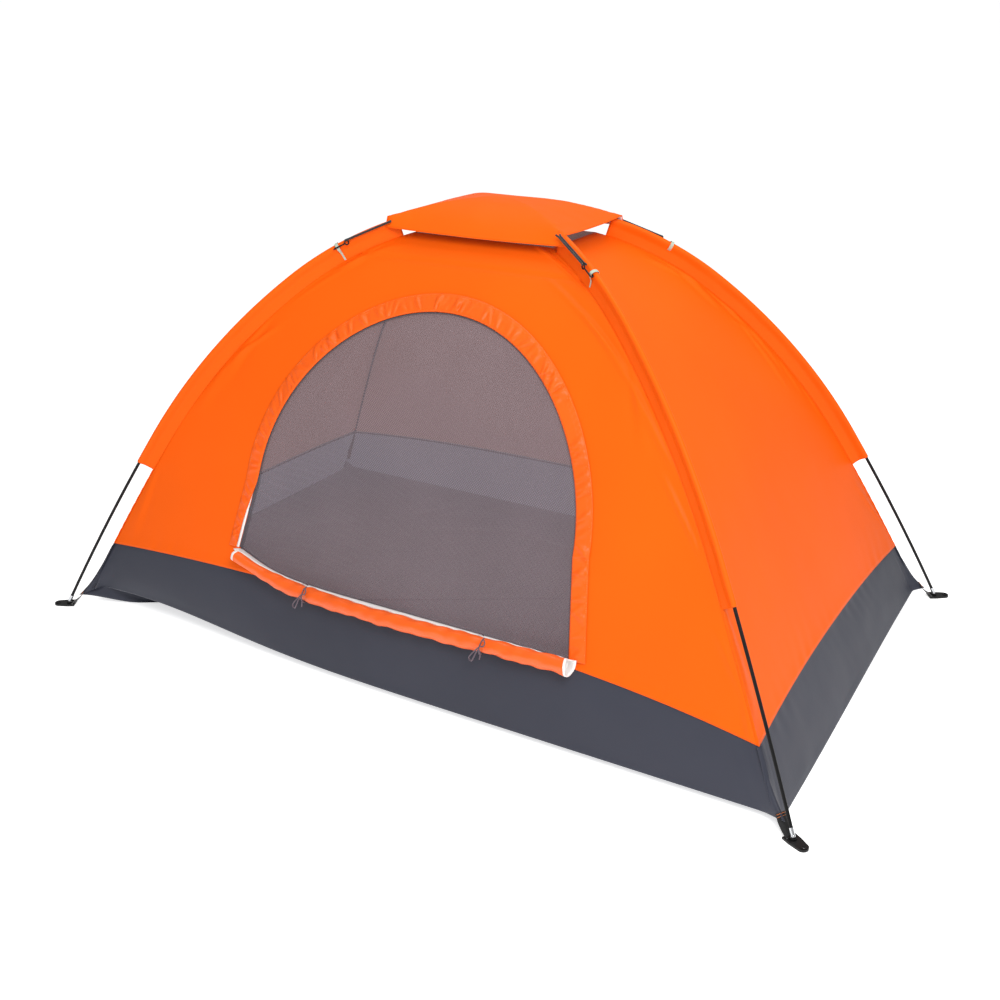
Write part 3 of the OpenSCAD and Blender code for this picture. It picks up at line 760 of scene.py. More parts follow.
class TENT_OT_ties(bpy.types.Operator):
    """The two elastic ties round the rolled door panel"""
    bl_idname = "tent.ties"
    bl_label = "Ties"

    def execute(self, context):
        low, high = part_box("door_panel_roll")
        centre = (low + high) / 2
        r = (high.z - low.z) / 2
        thick = 0.0030
        for node in ("roll_tie_left", "roll_tie_right"):
            x = sum(v.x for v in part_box(node)) / 2
            flip = 1 if x > 0 else -1
            x += TIE_SHIFT[flip]
            middle_z = centre.z + float(end_lift(x))
            ring_r = r + thick * 0.55
            # Round the roll from the top, behind, below and up its front, slanting to the knot near the top
            turns = [math.radians(a) for a in range(75, -256, -22)]
            path = [(x - 0.010 + 0.022 * k / len(turns), centre.y + ring_r * math.cos(a),
                     middle_z + ring_r * math.sin(a)) for k, a in enumerate(turns)]
            front = Vector((x + 0.010, centre.y - 0.62 * ring_r - 0.003, middle_z + 0.80 * ring_r))
            bow = [(0.002, -0.003, 0.003), (0.009, -0.006, 0.009), (0.014, -0.009, 0.004),
                   (0.010, -0.011, -0.005), (0.001, -0.009, -0.008), (-0.008, -0.014, -0.018),
                   (-0.018, -0.016, -0.030), (-0.024, -0.016, -0.041), (-0.017, -0.017, -0.046),
                   (-0.010, -0.018, -0.034), (-0.004, -0.016, -0.020), (0.002, -0.014, -0.014),
                   (0.005, -0.015, -0.026), (0.003, -0.015, -0.038)]
            path += [tuple(front + Vector((a, b, c))) for a, b, c in bow]
            line = rounded(path)
            elastic = braid("elastic_cord_braided_mauve", colours().mauve, 2.4)
            tie = tube(node.replace("roll_tie", "elastic_tie"), line, thick / 2, elastic, 8,
                       replaces=[node])
        return {"FINISHED"}


# ---------------------------------------------------------------- walls

WALL_COLS, WALL_ROWS = 260, 150
# How much further up the poles the cloth ends than the plain walls of the frame
VENT_RISE = 0.028
# Height of the seam across the front, above the door
PANEL_SEAM_Z = 0.966


def wall_grid(side):
    """u and d of the points of one wall."""
    top = seam_length_at(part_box(side + "_wall")[1].z) + VENT_RISE
    u = np.linspace(-1, 1, WALL_COLS)
    low = seam_length_at(hem_z(side, u))
    share = np.linspace(0, 1, WALL_ROWS)[:, None]
    return np.tile(u, (WALL_ROWS, 1)), low + (top - low) * share


def wall_creases(side, u, d, points):
    """How far out the cloth of a wall stands from its smooth shape."""
    r = body_curve().at(d, sizes().seam_inset)[0]
    share = math.cos(diagonal()) if side in ("front", "back") else math.sin(diagonal())
    half = r * share
    tall = d[-1] - d[0]
    up = d - d[0]
    seed = sum(ord(c) for c in side)
    depth = seam_creases((1 - u) * half, up, tall.max(), seed)
    depth += seam_creases((1 + u) * half, up, tall.max(), seed + 1)
    depth += hem_puckers(u * half, up, 0.035, seed + 2, 0.9 * MM)
    depth += hem_puckers(u * half, tall - up, 0.02, seed + 3, 0.5 * MM)
    depth += 1.6 * MM * rough(points, 0.28, seed) + 0.5 * MM * rough(points, 0.09, seed + 1)
    # Held still where it is sewn
    edge = np.minimum(np.minimum((1 - np.abs(u)) * half, up), tall - up)
    depth = depth * smooth(edge / 0.012)
    # The hem laps over the tub, and its row of stitches draws it in
    depth += 1.3 * MM * smooth(1 - up / 0.03) - 0.5 * MM * np.exp(-((up - 0.008) / 0.002) ** 2)
    if side == "front":
        # A second panel is felled over the first above the door
        above = points[..., 2] - PANEL_SEAM_Z
        depth += 2.0 * MM * smooth(above / 0.004) - 1.6 * MM * np.exp(-(above / 0.005) ** 2)
    return depth


def make_wall(side):
    """One wall, with the door cut out of the front one."""
    u, d = wall_grid(side)
    flat = skin(side, u, d)
    keep = None
    depth = wall_creases(side, u, d, flat)
    if side == "front":
        x, z = flat[..., 0], flat[..., 2]
        gap, near = from_outline(x, z)
        centre = (gap[:-1, :-1] + gap[1:, 1:] + gap[1:, :-1] + gap[:-1, 1:]) / 4
        keep = centre > 0
        # Corners of the kept cloth that fall inside the door are pulled out to its outline
        used = np.zeros(gap.shape, bool)
        for shift in ((0, 0), (0, 1), (1, 0), (1, 1)):
            used[shift[0]:shift[0] + keep.shape[0], shift[1]:shift[1] + keep.shape[1]] |= keep
        edge = used & (gap < 0.006)
        snapped = front_skin(near[..., 0], near[..., 1])
        depth = depth * smooth((gap - 0.005) / 0.06)
        flat = np.where(edge[..., None] & (gap[..., None] < 0), snapped, flat)
    points = flat + depth[..., None] * normals(flat)
    obj = piece(side + "_panel", points, grid_faces(*u.shape, keep=keep),
                replaces=[side + "_wall"], materials=[tent_cloth(), coated_inside()])
    thicken(obj, sizes().cloth_t, inner=1)


class TENT_OT_walls(bpy.types.Operator):
    """The four walls of the body"""
    bl_idname = "tent.walls"
    bl_label = "Walls"

    def execute(self, context):
        for side in SIDES:
            make_wall(side)
        return {"FINISHED"}


# ---------------------------------------------------------------- tub

def corner_flat(z):
    """How far the strap flattens a corner of the tub at a height."""
    return 0.0035 * smooth((0.12 - z) / 0.08)


def corner_r(z):
    """Distance out of the corner seam at a height, where the strap has flattened it."""
    d = seam_length_at(z)
    return body_curve().at(d, sizes().seam_inset)[0] - corner_flat(z)


def tub_ring(share, cols):
    """Rows of points round the tub, its four sides in turn, each from its left corner."""
    low = 0.8 * MM
    sides = []
    for side in SIDES:
        u = np.linspace(-1, 1, cols, endpoint=False)
        top = hem_z(side, u) + 0.007
        z = low + (top - low) * share[:, None]
        sides.append(skin(side, np.tile(u, (len(share), 1)), seam_length_at(z), -1.0 * MM))
    ring = np.concatenate(sides, axis=1)
    for corner in CORNERS:
        turn = corner_turn(corner)
        out = np.array([math.cos(turn), math.sin(turn), 0.0])
        over = np.maximum(ring @ out - corner_r(ring[..., 2]), 0)
        ring = ring - over[..., None] * out
    return ring


def hung(side, u):
    """How far up and in the tub's lower edge hangs from its straps, along one side."""
    if side in ("front", "back"):
        slack = np.exp(-((u + 0.82) / 0.42) ** 2)
        return 0.017 + 0.032 * slack, 0.015 + 0.025 * slack
    slack = smooth((u + 1) / 2)
    return 0.003 + 0.021 * slack, 0.003 + 0.010 * slack


class TENT_OT_tub(bpy.types.Operator):
    """The grey tub: its band round the foot of the walls and the floor"""
    bl_idname = "tent.tub"
    bl_label = "Tub"

    def execute(self, context):
        cols, rows = 160, 34
        ring = tub_ring(np.linspace(0, 1, rows), cols)
        n = normals(np.concatenate([ring[:, -1:], ring, ring[:, :1]], axis=1))[:, 1:-1]
        along = np.linspace(-1, 1, cols, endpoint=False)
        share = np.tile(np.abs(along), 4)
        place = np.arange(4 * cols) / cols
        up = np.linspace(0, 1, rows)[:, None] * np.ones(4 * cols)
        # The corners are drawn up towards their straps, and gathered into a few folds
        near = smooth((share - 0.955) / 0.045)
        gather = smooth((share - 0.91) / 0.07) * np.sin((1 - share) * 190 + up * 1.5)
        gather = gather * 2.0 * MM * (1 - 0.6 * up)
        waves = 2.4 * MM * rough(ring, 0.22, 5) + 1.0 * MM * rough(ring, 0.07, 6)
        waves += hem_puckers(place * 1.2 + up * 0.02, (1 - up) * 0.18, 0.035, 9, 1.2 * MM)
        held = smooth(up * 8) * smooth((1.0 - up) * 12)
        points = ring + ((waves + gather) * held)[..., None] * n
        turns = np.array([corner_turn(end) for side in SIDES for end in SIDE_ENDS[side]
                          for _ in range(cols // 2)])
        out = np.stack([np.cos(turns), np.sin(turns), 0 * turns], -1)
        hang = [hung(side, along) for side in SIDES]
        inward = np.concatenate([-amount[1][:, None] * np.array(SIDES[side][1])
                                 for side, amount in zip(SIDES, hang)])
        lift = 0.027 * near + (1 - near) * np.concatenate([amount[0] for amount in hang])
        fall = (1 - up) ** 2
        drawn = (lift * fall)[..., None] * UP + (0.016 * near * (1 - up) ** 3)[..., None] * out
        drawn += ((1 - near) * fall)[..., None] * inward
        points += drawn
        flat = ring + drawn
        obj = piece("tub_band", points, grid_faces(rows, 4 * cols, closed=True),
                    replaces=["floor_tub"], materials=[tub_cloth(), floor_cloth()])
        thicken(obj, sizes().cloth_t, inner=1)
        self.floor(flat[0], lift)
        return {"FINISHED"}

    def floor(self, rim, lift):
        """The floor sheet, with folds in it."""
        rings = 60
        share = np.linspace(1, 0.0, rings)[:, None, None]
        flat = rim[None] * share
        flat[..., 2] = 1.2 * MM
        edge = 1 - share[..., 0]
        x, y = flat[..., 0], flat[..., 1]
        folds = np.zeros(x.shape)
        rng = random.Random(31)
        for _ in range(26):
            a = rng.uniform(-0.9, 0.8), rng.uniform(-0.5, 0.5)
            turn = rng.uniform(0, math.pi)
            run = rng.uniform(0.15, 0.5)
            b = a[0] + run * math.cos(turn), a[1] + run * math.sin(turn)
            folds += np.abs(crease(x, y, a, b, rng.uniform(3, 8) * MM, rng.uniform(9, 20) * MM))
        folds += 2.0 * MM * np.abs(rough(flat, 0.16, 12))
        points = flat.copy()
        points[..., 2] += folds * smooth(edge / 0.06) + lift * smooth(1 - edge / 0.14)
        obj = piece("tub_floor", points, grid_faces(rings, x.shape[1], closed=True),
                    materials=[floor_sheet(), tub_cloth()])
        thicken(obj, 0.6 * MM, inner=1)


# ---------------------------------------------------------------- sleeves

class TENT_OT_sleeves(bpy.types.Operator):
    """The four pole sleeves"""
    bl_idname = "tent.sleeves"
    bl_label = "Sleeves"

    def execute(self, context):
        for corner in CORNERS:
            self.sleeve(corner)
        return {"FINISHED"}

    def sleeve(self, corner):
        s = sizes()
        pole = corner_pole(corner)
        turn = corner_turn(corner)
        seed = CORNERS.index(corner) + 3
        out = np.array([math.cos(turn), math.sin(turn), 0.0])
        side = np.array([-math.sin(turn), math.cos(turn), 0.0])
        rows = 170
        d = np.linspace(s.sleeve_start, pole.half - s.sleeve_end, rows)
        r, z, lean = pole.at(d)
        # The section runs up one face of the fin, round the pole and down the other face
        tunnel = 0.0064
        body = body_curve()
        seam_r, seam_z, _ = body.at(body.d, s.seam_inset)
        # The upper pole stands further from the seam towards its crown
        root = (z - np.interp(-r, -seam_r, seam_z)) * np.cos(lean) + 1.5 * MM
        fin = np.linspace(1, 0, 13)[:-1]
        arc = np.linspace(-90, 90, 17)
        depth = root[:, None] * np.concatenate([fin, 0 * arc, fin[::-1]])
        half = 0.0009 + (tunnel - 0.0009) * smooth(1 - fin * 2.2)
        across = np.concatenate([-half, tunnel * np.sin(np.radians(arc)), half[::-1]])
        rise = np.concatenate([0 * fin, tunnel * np.cos(np.radians(arc)), 0 * fin])
        level = rise[None, :] - depth
        normal = np.sin(lean)[:, None] * out + np.cos(lean)[:, None] * UP
        base = r[:, None] * out + z[:, None] * UP
        points = base[:, None] + level[..., None] * normal[:, None] + across[None, :, None] * side
        # The fin waves a little between the pole and the seam, and bunches at both ends
        along = (d - d[0])[:, None]
        share = np.clip(-level / root[:, None], 0, 1)
        belly = np.sin(np.pi * np.clip(share, 0, 1))
        sway = 2.2 * MM * rough(points, 0.10, seed) + 1.0 * MM * rough(points, 0.035, seed + 5)
        ends = np.exp(-along / 0.03) + np.exp(-(along.max() - along) / 0.03)
        sway = sway * (1 + 1.2 * ends)
        points = points + (sway * belly)[..., None] * side
        uv = np.stack([along * np.ones_like(level), level], -1)
        obj = piece("sleeve_" + corner, points, grid_faces(rows, points.shape[1]),
                    replaces=["pole_sleeve_" + corner], materials=[tent_cloth(), coated_inside()], uv=uv)
        thicken(obj, 0.5 * MM, inner=1)


# ---------------------------------------------------------------- door

def outline_grid(inner, outer, cols):
    """Points of a band along the door's outline between two distances from it."""
    line = door_outline()
    out = door_outline(1.0) - line
    away = np.linspace(inner, outer, cols)
    flat = line[:, None] + away[None, :, None] * out[:, None]
    flat[..., 1] = np.maximum(flat[..., 1], sill_at(flat[..., 0]))
    return front_skin(flat[..., 0], flat[..., 1])


# Square to the front wall near the door, near enough for small folds
OUT_OF_FRONT = np.array([0.0, -0.90, 0.43])


class TENT_OT_flap(bpy.types.Operator):
    """The storm flap sewn round the door"""
    bl_idname = "tent.flap"
    bl_label = "Storm flap"

    def execute(self, context):
        s = sizes()
        line = door_outline()
        out = door_outline(1.0) - line
        coarse = np.concatenate([[0], np.cumsum(np.linalg.norm(np.diff(line, axis=0), axis=1))])
        run = np.linspace(0, coarse[-1], round(coarse[-1] / 0.0018))
        line = np.stack([np.interp(run, coarse, line[:, k]) for k in (0, 1)], -1)
        out = np.stack([np.interp(run, coarse, out[:, k]) for k in (0, 1)], -1)
        share = np.linspace(0, 1, 19)[None, :] * np.ones((len(run), 1))
        # The inner edge stands off over the zip, and draws back a little at the bottom left
        back = -0.007 + 0.015 * smooth(1 - (run - 0.05) / 0.16)[:, None]
        away = back + (s.flap_w - back) * share
        flat = line[:, None] + away[..., None] * out[:, None]
        flat[..., 1] = np.maximum(flat[..., 1], sill_at(flat[..., 0]))
        stand = 1.8 * MM + 5.2 * MM * (1 - share) ** 0.8
        smooth_points = front_skin(flat[..., 0], flat[..., 1], stand)
        rng = random.Random(4)
        pucker = np.zeros(share.shape)
        for _ in range(130):
            foot = rng.uniform(0, run[-1])
            slant = rng.uniform(-0.030, 0.030)
            pucker += crease(away, run[:, None] * np.ones_like(away), (-0.006, foot + slant),
                             (s.flap_w, foot), rng.uniform(1.0, 3.4) * MM, rng.uniform(4, 9) * MM)
        drawn = np.exp(-((share - 0.80) / 0.06) ** 2)
        pucker += 0.5 * MM * np.sin(run[:, None] * 2 * math.pi / 0.013) * drawn
        # Two rows of stitches pull the cloth down along the outer edge, and the inner edge is rolled under
        seam = np.exp(-((share - 0.91) / 0.03) ** 2) + 0.8 * np.exp(-((share - 0.75) / 0.03) ** 2)
        turned = 3.2 * MM * (1 - smooth(share / 0.10))
        depth = pucker * smooth(share * 6) * (0.35 + 0.65 * smooth((0.98 - share) / 0.2))
        depth = depth - 1.1 * MM * seam - turned
        points = smooth_points + depth[..., None] * OUT_OF_FRONT
        obj = piece("storm_flap_band", points, grid_faces(*share.shape),
                    replaces=["storm_flap"], materials=[flap_cloth()])
        for p in obj.data.polygons:
            p.flip()
        thicken(obj, 0.9 * MM, offset=1.0)
        return {"FINISHED"}


class TENT_OT_door(bpy.types.Operator):
    """The mesh door and the tapes of its zips"""
    bl_idname = "tent.door"
    bl_label = "Mesh door"

    def execute(self, context):
        s = sizes()
        low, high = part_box("mesh_door")
        rows, cols = 90, 120
        # Rows close up near the top so that the round edge stays smooth
        z = low.z + (high.z - 0.0005 - low.z) * np.sin(np.linspace(0, math.pi / 2, rows))
        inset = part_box("mesh_zip_wall_half")[1].z - high.z
        half = np.maximum(half_width(z) - inset, 0.004)
        u, zz = np.meshgrid(np.linspace(-1, 1, cols), z)
        x = u * half[:, None]
        zz = zz + end_lift(x) * smooth(1 - (zz - low.z) / 0.25)
        flat = front_skin(x, zz, -1.2 * MM)
        edge = np.minimum((1 - np.abs(u)) * half[:, None], np.minimum(zz - z[0], z[-1] - zz))
        sway = 3.0 * MM * rough(flat, 0.25, 3) + 0.8 * MM * rough(flat, 0.08, 4) - 4.0 * MM
        rng = random.Random(8)
        for _ in range(12):
            a = rng.uniform(-0.4, 0.4), rng.uniform(0.25, 0.8)
            b = a[0] + rng.uniform(-0.25, 0.25), a[1] + rng.uniform(-0.2, 0.2)
            sway += crease(x, zz, a, b, rng.uniform(0.8, 1.8) * MM, rng.uniform(6, 12) * MM)
        points = flat + (sway * smooth(edge / 0.08))[..., None] * normals(flat)
        mesh = piece("mesh_door_net", points, grid_faces(rows, cols), body="mesh_door_leaf",
                     replaces=["mesh_door"], materials=[knotted_mesh()])
        tapes = (("mesh_zip_wall_tape", "mesh_zip_wall_half", "root", 0.0, -s.zip_w, 0.6 * MM, mesh_tape()),
                 ("mesh_zip_door_tape", "mesh_zip_door_half", "mesh_door_leaf", -0.0054, -0.0094, 0.6 * MM,
                  mesh_tape()),
                 ("door_zip_wall_tape", "door_zip_tape", "root", 0.0005, 0.0095, 2.2 * MM, zip_tape()))
        for tape in tapes:
            self.tape(*tape)
        return {"FINISHED"}

    def tape(self, name, node, body, inner, outer, lift, finish):
        """A zip's tape with its coil standing up along the middle."""
        cols = 7
        smooth_points = outline_grid(outer, inner, cols)
        if body != "root":
            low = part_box(node)[0].z
            smooth_points[..., 2] = np.maximum(smooth_points[..., 2], low)
        share = np.linspace(0, 1, cols)[None, :]
        turn = np.arange(len(smooth_points))[:, None]
        coil = np.exp(-((share - 0.5) / 0.22) ** 2) * (1.2 * MM + 0.25 * MM * np.cos(turn * math.pi))
        n = normals(smooth_points)
        n *= np.sign(-n[..., 1:2] + 1e-9)
        points = smooth_points + (lift + coil)[..., None] * n
        obj = piece(name, points, grid_faces(len(points), cols), body=body, replaces=[node],
                    materials=[finish])
        thicken(obj, 0.5 * MM, offset=0.0)


# ---------------------------------------------------------------- rolled panel

class TENT_OT_roll(bpy.types.Operator):
    """The outer door panel, unzipped and rolled up along the sill"""
    bl_idname = "tent.roll"
    bl_label = "Rolled panel"

    def execute(self, context):
        low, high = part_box("door_panel_roll")
        centre = (low + high) / 2
        outer_r = (high.z - low.z) / 2 - 0.5 * MM
        sill_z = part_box("mesh_zip_wall_half")[0].z
        top_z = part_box("mesh_zip_wall_half")[1].z
        panel = top_z - sill_z
        # Each turn of the spiral lies one cloth and one air gap inside the last
        hole_r = 0.0095
        pitch = math.pi * (outer_r ** 2 - hole_r ** 2) / panel
        rows, cols = 230, 161
        h = np.linspace(0, panel, rows)
        r = np.sqrt(np.maximum(outer_r ** 2 - pitch * h / math.pi, hole_r ** 2))
        angle = math.radians(70) - np.concatenate([[0], np.cumsum(np.diff(h) / ((r[1:] + r[:-1]) / 2))])
        half = np.minimum(half_width(sill_z + h), (high.x - low.x) / 2)
        half = np.maximum(half, 0.02)
        u = np.linspace(-1, 1, cols)
        x = half[:, None] * u[None]
        x = x + 0.012 + 0.006 * smooth(x / 0.4)
        rr, aa = r[:, None] * np.ones(cols), angle[:, None] * np.ones(cols)
        round_place = np.stack([x * 0.6, 0.03 * np.cos(aa), 0.03 * np.sin(aa)], -1)
        lumps = 0.12 * rough(round_place, 0.045, 2) + 0.09 * rough(round_place, 0.02, 3)
        ridge = 0.05 * np.sin(x * 2 * math.pi / 0.055 + 2.0 * aa + 3 * rough(round_place, 0.08, 4))
        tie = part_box("roll_tie_right")
        tie_x = (tie[0].x + tie[1].x) / 2
        squeeze = sum(np.exp(-((x - side * tie_x - TIE_SHIFT[side]) / 0.012) ** 2) for side in (-1, 1))
        rr = rr * (1 + (lumps + ridge) * (1 - 0.8 * squeeze) - 0.10 * squeeze - 0.03)
        thin = smooth((-x - 0.24) / 0.2)
        rr = rr * (1 - 0.25 * thin)
        rise = 0.007 * thin
        # The roll sags between its ties and lifts towards the ends
        sag = -0.006 * np.cos(x / tie_x * math.pi / 2) * (np.abs(x) < tie_x)
        sag += 0.004 * smooth((np.abs(x) - tie_x) / 0.2)
        axis_z = centre.z + sag + end_lift(x) + rise
        points = np.stack([x, centre.y + 0.9 * rr * np.cos(aa), axis_z + rr * np.sin(aa)], -1)
        # The first stretch comes from the sill of the wall
        lead = smooth(1 - h / 0.016)[:, None, None]
        sill = front_skin(x, sill_at(x), 1.0 * MM)
        points = points * (1 - lead) + sill * lead
        edge = half[:, None] * (1 - np.abs(u))
        faces = grid_faces(rows, cols)
        middle = (edge[:-1, :-1] + edge[1:, 1:]) / 2
        # The binding goes round the panel's arched edge, so the first turn has none
        white = ((middle < 0.007) & (h[:-1, None] > 0.03)).ravel() * 2
        obj = piece("door_roll_cloth", points, faces, replaces=["door_panel_roll"],
                    materials=[roll_cloth(), roll_lining(), zip_tape(), zip_tape()], indices=white)
        thicken(obj, 0.5 * MM, inner=1, offset=-1.0)
        return {"FINISHED"}


# ---------------------------------------------------------------- rain cover and vent

class TENT_OT_cover(bpy.types.Operator):
    """The rain cover over the crossing of the poles"""
    bl_idname = "tent.cover"
    bl_label = "Rain cover"

    def execute(self, context):
        s = sizes()
        pole = corner_pole("fr")
        stand = 8.5 * MM
        across, deep, hang = 121, 91, 9
        a, b = np.meshgrid(np.linspace(-1, 1, across), np.linspace(-1, 1, deep))
        part = np.maximum(np.abs(a), np.abs(b))
        r, z, _ = pole.at(pole.half - s.cover_corner * part, -stand)
        scale = r / np.maximum(part, 1e-6)
        wide, narrow = math.cos(diagonal()), math.sin(diagonal())
        top = np.stack([a * scale * wide, b * scale * narrow, z], -1)
        top[part < 1e-6, :2] = 0
        # The front and back hang down past the poles, close over the walls
        fall = np.linspace(0, 1, hang + 1)[1:, None, None]
        drop = np.array([0.0, -0.010, -s.cover_drop])
        front = top[:1] + fall * drop
        back = top[-1:] + fall * drop * (1, -1, 1)
        flat = np.concatenate([front[::-1], top, back])
        # Between the poles it hangs round in one sweep, without a fold
        row = np.concatenate([np.ones((hang, 1)), np.abs(b[:, :1]), np.ones((hang, 1))])
        loose = (smooth((row - np.abs(a[:1])) / 0.35) * smooth((row - 0.35) / 0.4))[1:-1, :, None]
        for _ in range(320):
            flat[1:-1] += 0.5 * loose * (0.5 * (flat[:-2] + flat[2:]) - flat[1:-1])
        points = flat.copy()
        # Between the corners the cloth dips, most along its free edges
        bell = np.clip(1 - a ** 2, 0, 1) * np.abs(b) ** 3 + np.clip(1 - b ** 2, 0, 1) * np.abs(a) ** 3
        sag = np.concatenate([np.tile(bell[:1], (hang, 1)), bell, np.tile(bell[-1:], (hang, 1))])
        points[..., 2] -= 4.0 * MM * sag
        n = normals(points)
        ripple = 1.3 * MM * rough(points, 0.12, 21) + 0.5 * MM * rough(points, 0.045, 22)
        end = 1 - np.abs(a[:1])
        full = np.concatenate([np.ones((hang, 1)), np.abs(b[:, :1]) ** 2, np.ones((hang, 1))])
        ripple += 1.2 * MM * np.sin(end * 40) * np.exp(-end * 7) * full
        ends = np.ones((hang, across))
        lift = smooth((1 - np.abs(np.concatenate([ends, b, ends]))) * 10)
        points = points + (ripple * (0.4 + 0.6 * lift))[..., None] * n
        rows = len(points)
        obj = piece("rain_cover_cloth", points, grid_faces(rows, across),
                    replaces=["rain_cover"], materials=[cover_cloth(), roll_lining()])
        thicken(obj, sizes().cloth_t, inner=1)
        self.hem(points)
        return {"FINISHED"}

    def hem(self, points):
        """The folded hem round the cover's edge."""
        rim = np.concatenate([points[0], points[1:, -1], points[-1, -2::-1], points[-2:0:-1, 0]])
        tube("rain_cover_hem", rim, 1.1 * MM, cover_cloth(), 8, closed=True)


class TENT_OT_vent(bpy.types.Operator):
    """The mesh of the roof vent"""
    bl_idname = "tent.vent"
    bl_label = "Vent"

    def execute(self, context):
        n = 40
        rim_d = seam_length_at(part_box("vent_mesh")[0].z) + VENT_RISE
        rim_r, rim_z, _ = body_curve().at(rim_d, sizes().seam_inset)
        half_x, half_y = rim_r * math.cos(diagonal()) * 0.998, rim_r * math.sin(diagonal()) * 0.998
        x, y = np.meshgrid(np.linspace(-half_x, half_x, n), np.linspace(-half_y, half_y, n))
        flat = np.stack([x, y, np.full(x.shape, float(rim_z) - 0.5 * MM)], -1)
        inside = (1 - (x / half_x) ** 2) * (1 - (y / half_y) ** 2)
        points = flat.copy()
        points[..., 2] += 0.006 * inside + 1.5 * MM * inside * rough(flat, 0.05, 2)
        obj = piece("vent_net", points, grid_faces(n, n), replaces=["vent_mesh"],
                    materials=[knotted_mesh()])
        return {"FINISHED"}


# ---------------------------------------------------------------- straps, loops and seams

RIBBON_SIDES = 12


def ribbon(name, path, wide_dir, width, thickness, finish, replaces=()):
    """A flat band along a path, with soft edges. width is one number, or one for each point."""
    path = np.asarray(path, float)
    along = np.gradient(path, axis=0)
    along /= np.linalg.norm(along, axis=1, keepdims=True)
    wide_dir = np.asarray(wide_dir, float)
    up = np.cross(wide_dir, along)
    turn = np.linspace(0, 2 * math.pi, RIBBON_SIDES, endpoint=False)
    across = np.sign(np.cos(turn)) * np.abs(np.cos(turn)) ** 0.5
    rise = np.sign(np.sin(turn)) * np.abs(np.sin(turn)) ** 0.7
    width = np.broadcast_to(width, len(path))
    points = (path[:, None] + (across[None] * width[:, None] / 2)[..., None] * wide_dir
              + (rise * thickness / 2)[None, :, None] * up[:, None])
    faces = grid_faces(len(path), RIBBON_SIDES, closed=True)
    last = (len(path) - 1) * RIBBON_SIDES
    faces += [tuple(range(RIBBON_SIDES))[::-1], tuple(range(last, last + RIBBON_SIDES))]
    return piece(name, points, faces, replaces=replaces, materials=[finish])


def corner_frame(corner):
    """Unit vectors out along a corner's diagonal and sideways."""
    turn = corner_turn(corner)
    return np.array([math.cos(turn), math.sin(turn), 0.0]), np.array([-math.sin(turn), math.cos(turn), 0.0])


# Back from the foot and up, from the tub's corner seam down to the foot
STRAP_ROUTE = ((0.0490, 0.0400), (0.0445, 0.0330), (0.0405, 0.0265), (0.0330, 0.0185), (0.0245, 0.0115),
               (0.0170, 0.0070), (0.0135, 0.0035))


class TENT_OT_straps(bpy.types.Operator):
    """The straps from the floor corners to the feet, with their bar tacks"""
    bl_idname = "tent.straps"
    bl_label = "Corner straps"

    def execute(self, context):
        s = sizes()
        half = math.hypot(s.span_x, s.span_y) / 2
        black = webbing("polyester_webbing_black", colours().black)
        for corner in CORNERS:
            out, side = corner_frame(corner)
            path = rounded([(half - back, 0.0, z) for back, z in STRAP_ROUTE], 0.002)
            place = path[:, :1] * out + path[:, 2:] * UP
            ribbon("strap_" + corner, place, side, s.strap_w, 1.5 * MM, black,
                   ["corner_strap_" + corner])
            for k, (r, z) in enumerate(((half - 0.0465, 0.0385), (half - 0.0435, 0.0335))):
                turns = np.linspace(-0.45, 0.45, 37)
                wave = 0.6 * MM * (np.arange(37) % 2)
                tack = [r * out + t * s.strap_w * side + (z + w) * UP for t, w in zip(turns, wave)]
                tube("bar_tack_%s_%d" % (corner, k + 1), tack, 0.45 * MM, thread(), 6)
        return {"FINISHED"}


# The six faces of a stitch, whose corners are its four low ones and then its four high ones
STITCH_FACES = ((0, 1, 2, 3), (7, 6, 5, 4), (4, 5, 1, 0), (5, 6, 2, 1), (6, 7, 3, 2), (7, 4, 0, 3))


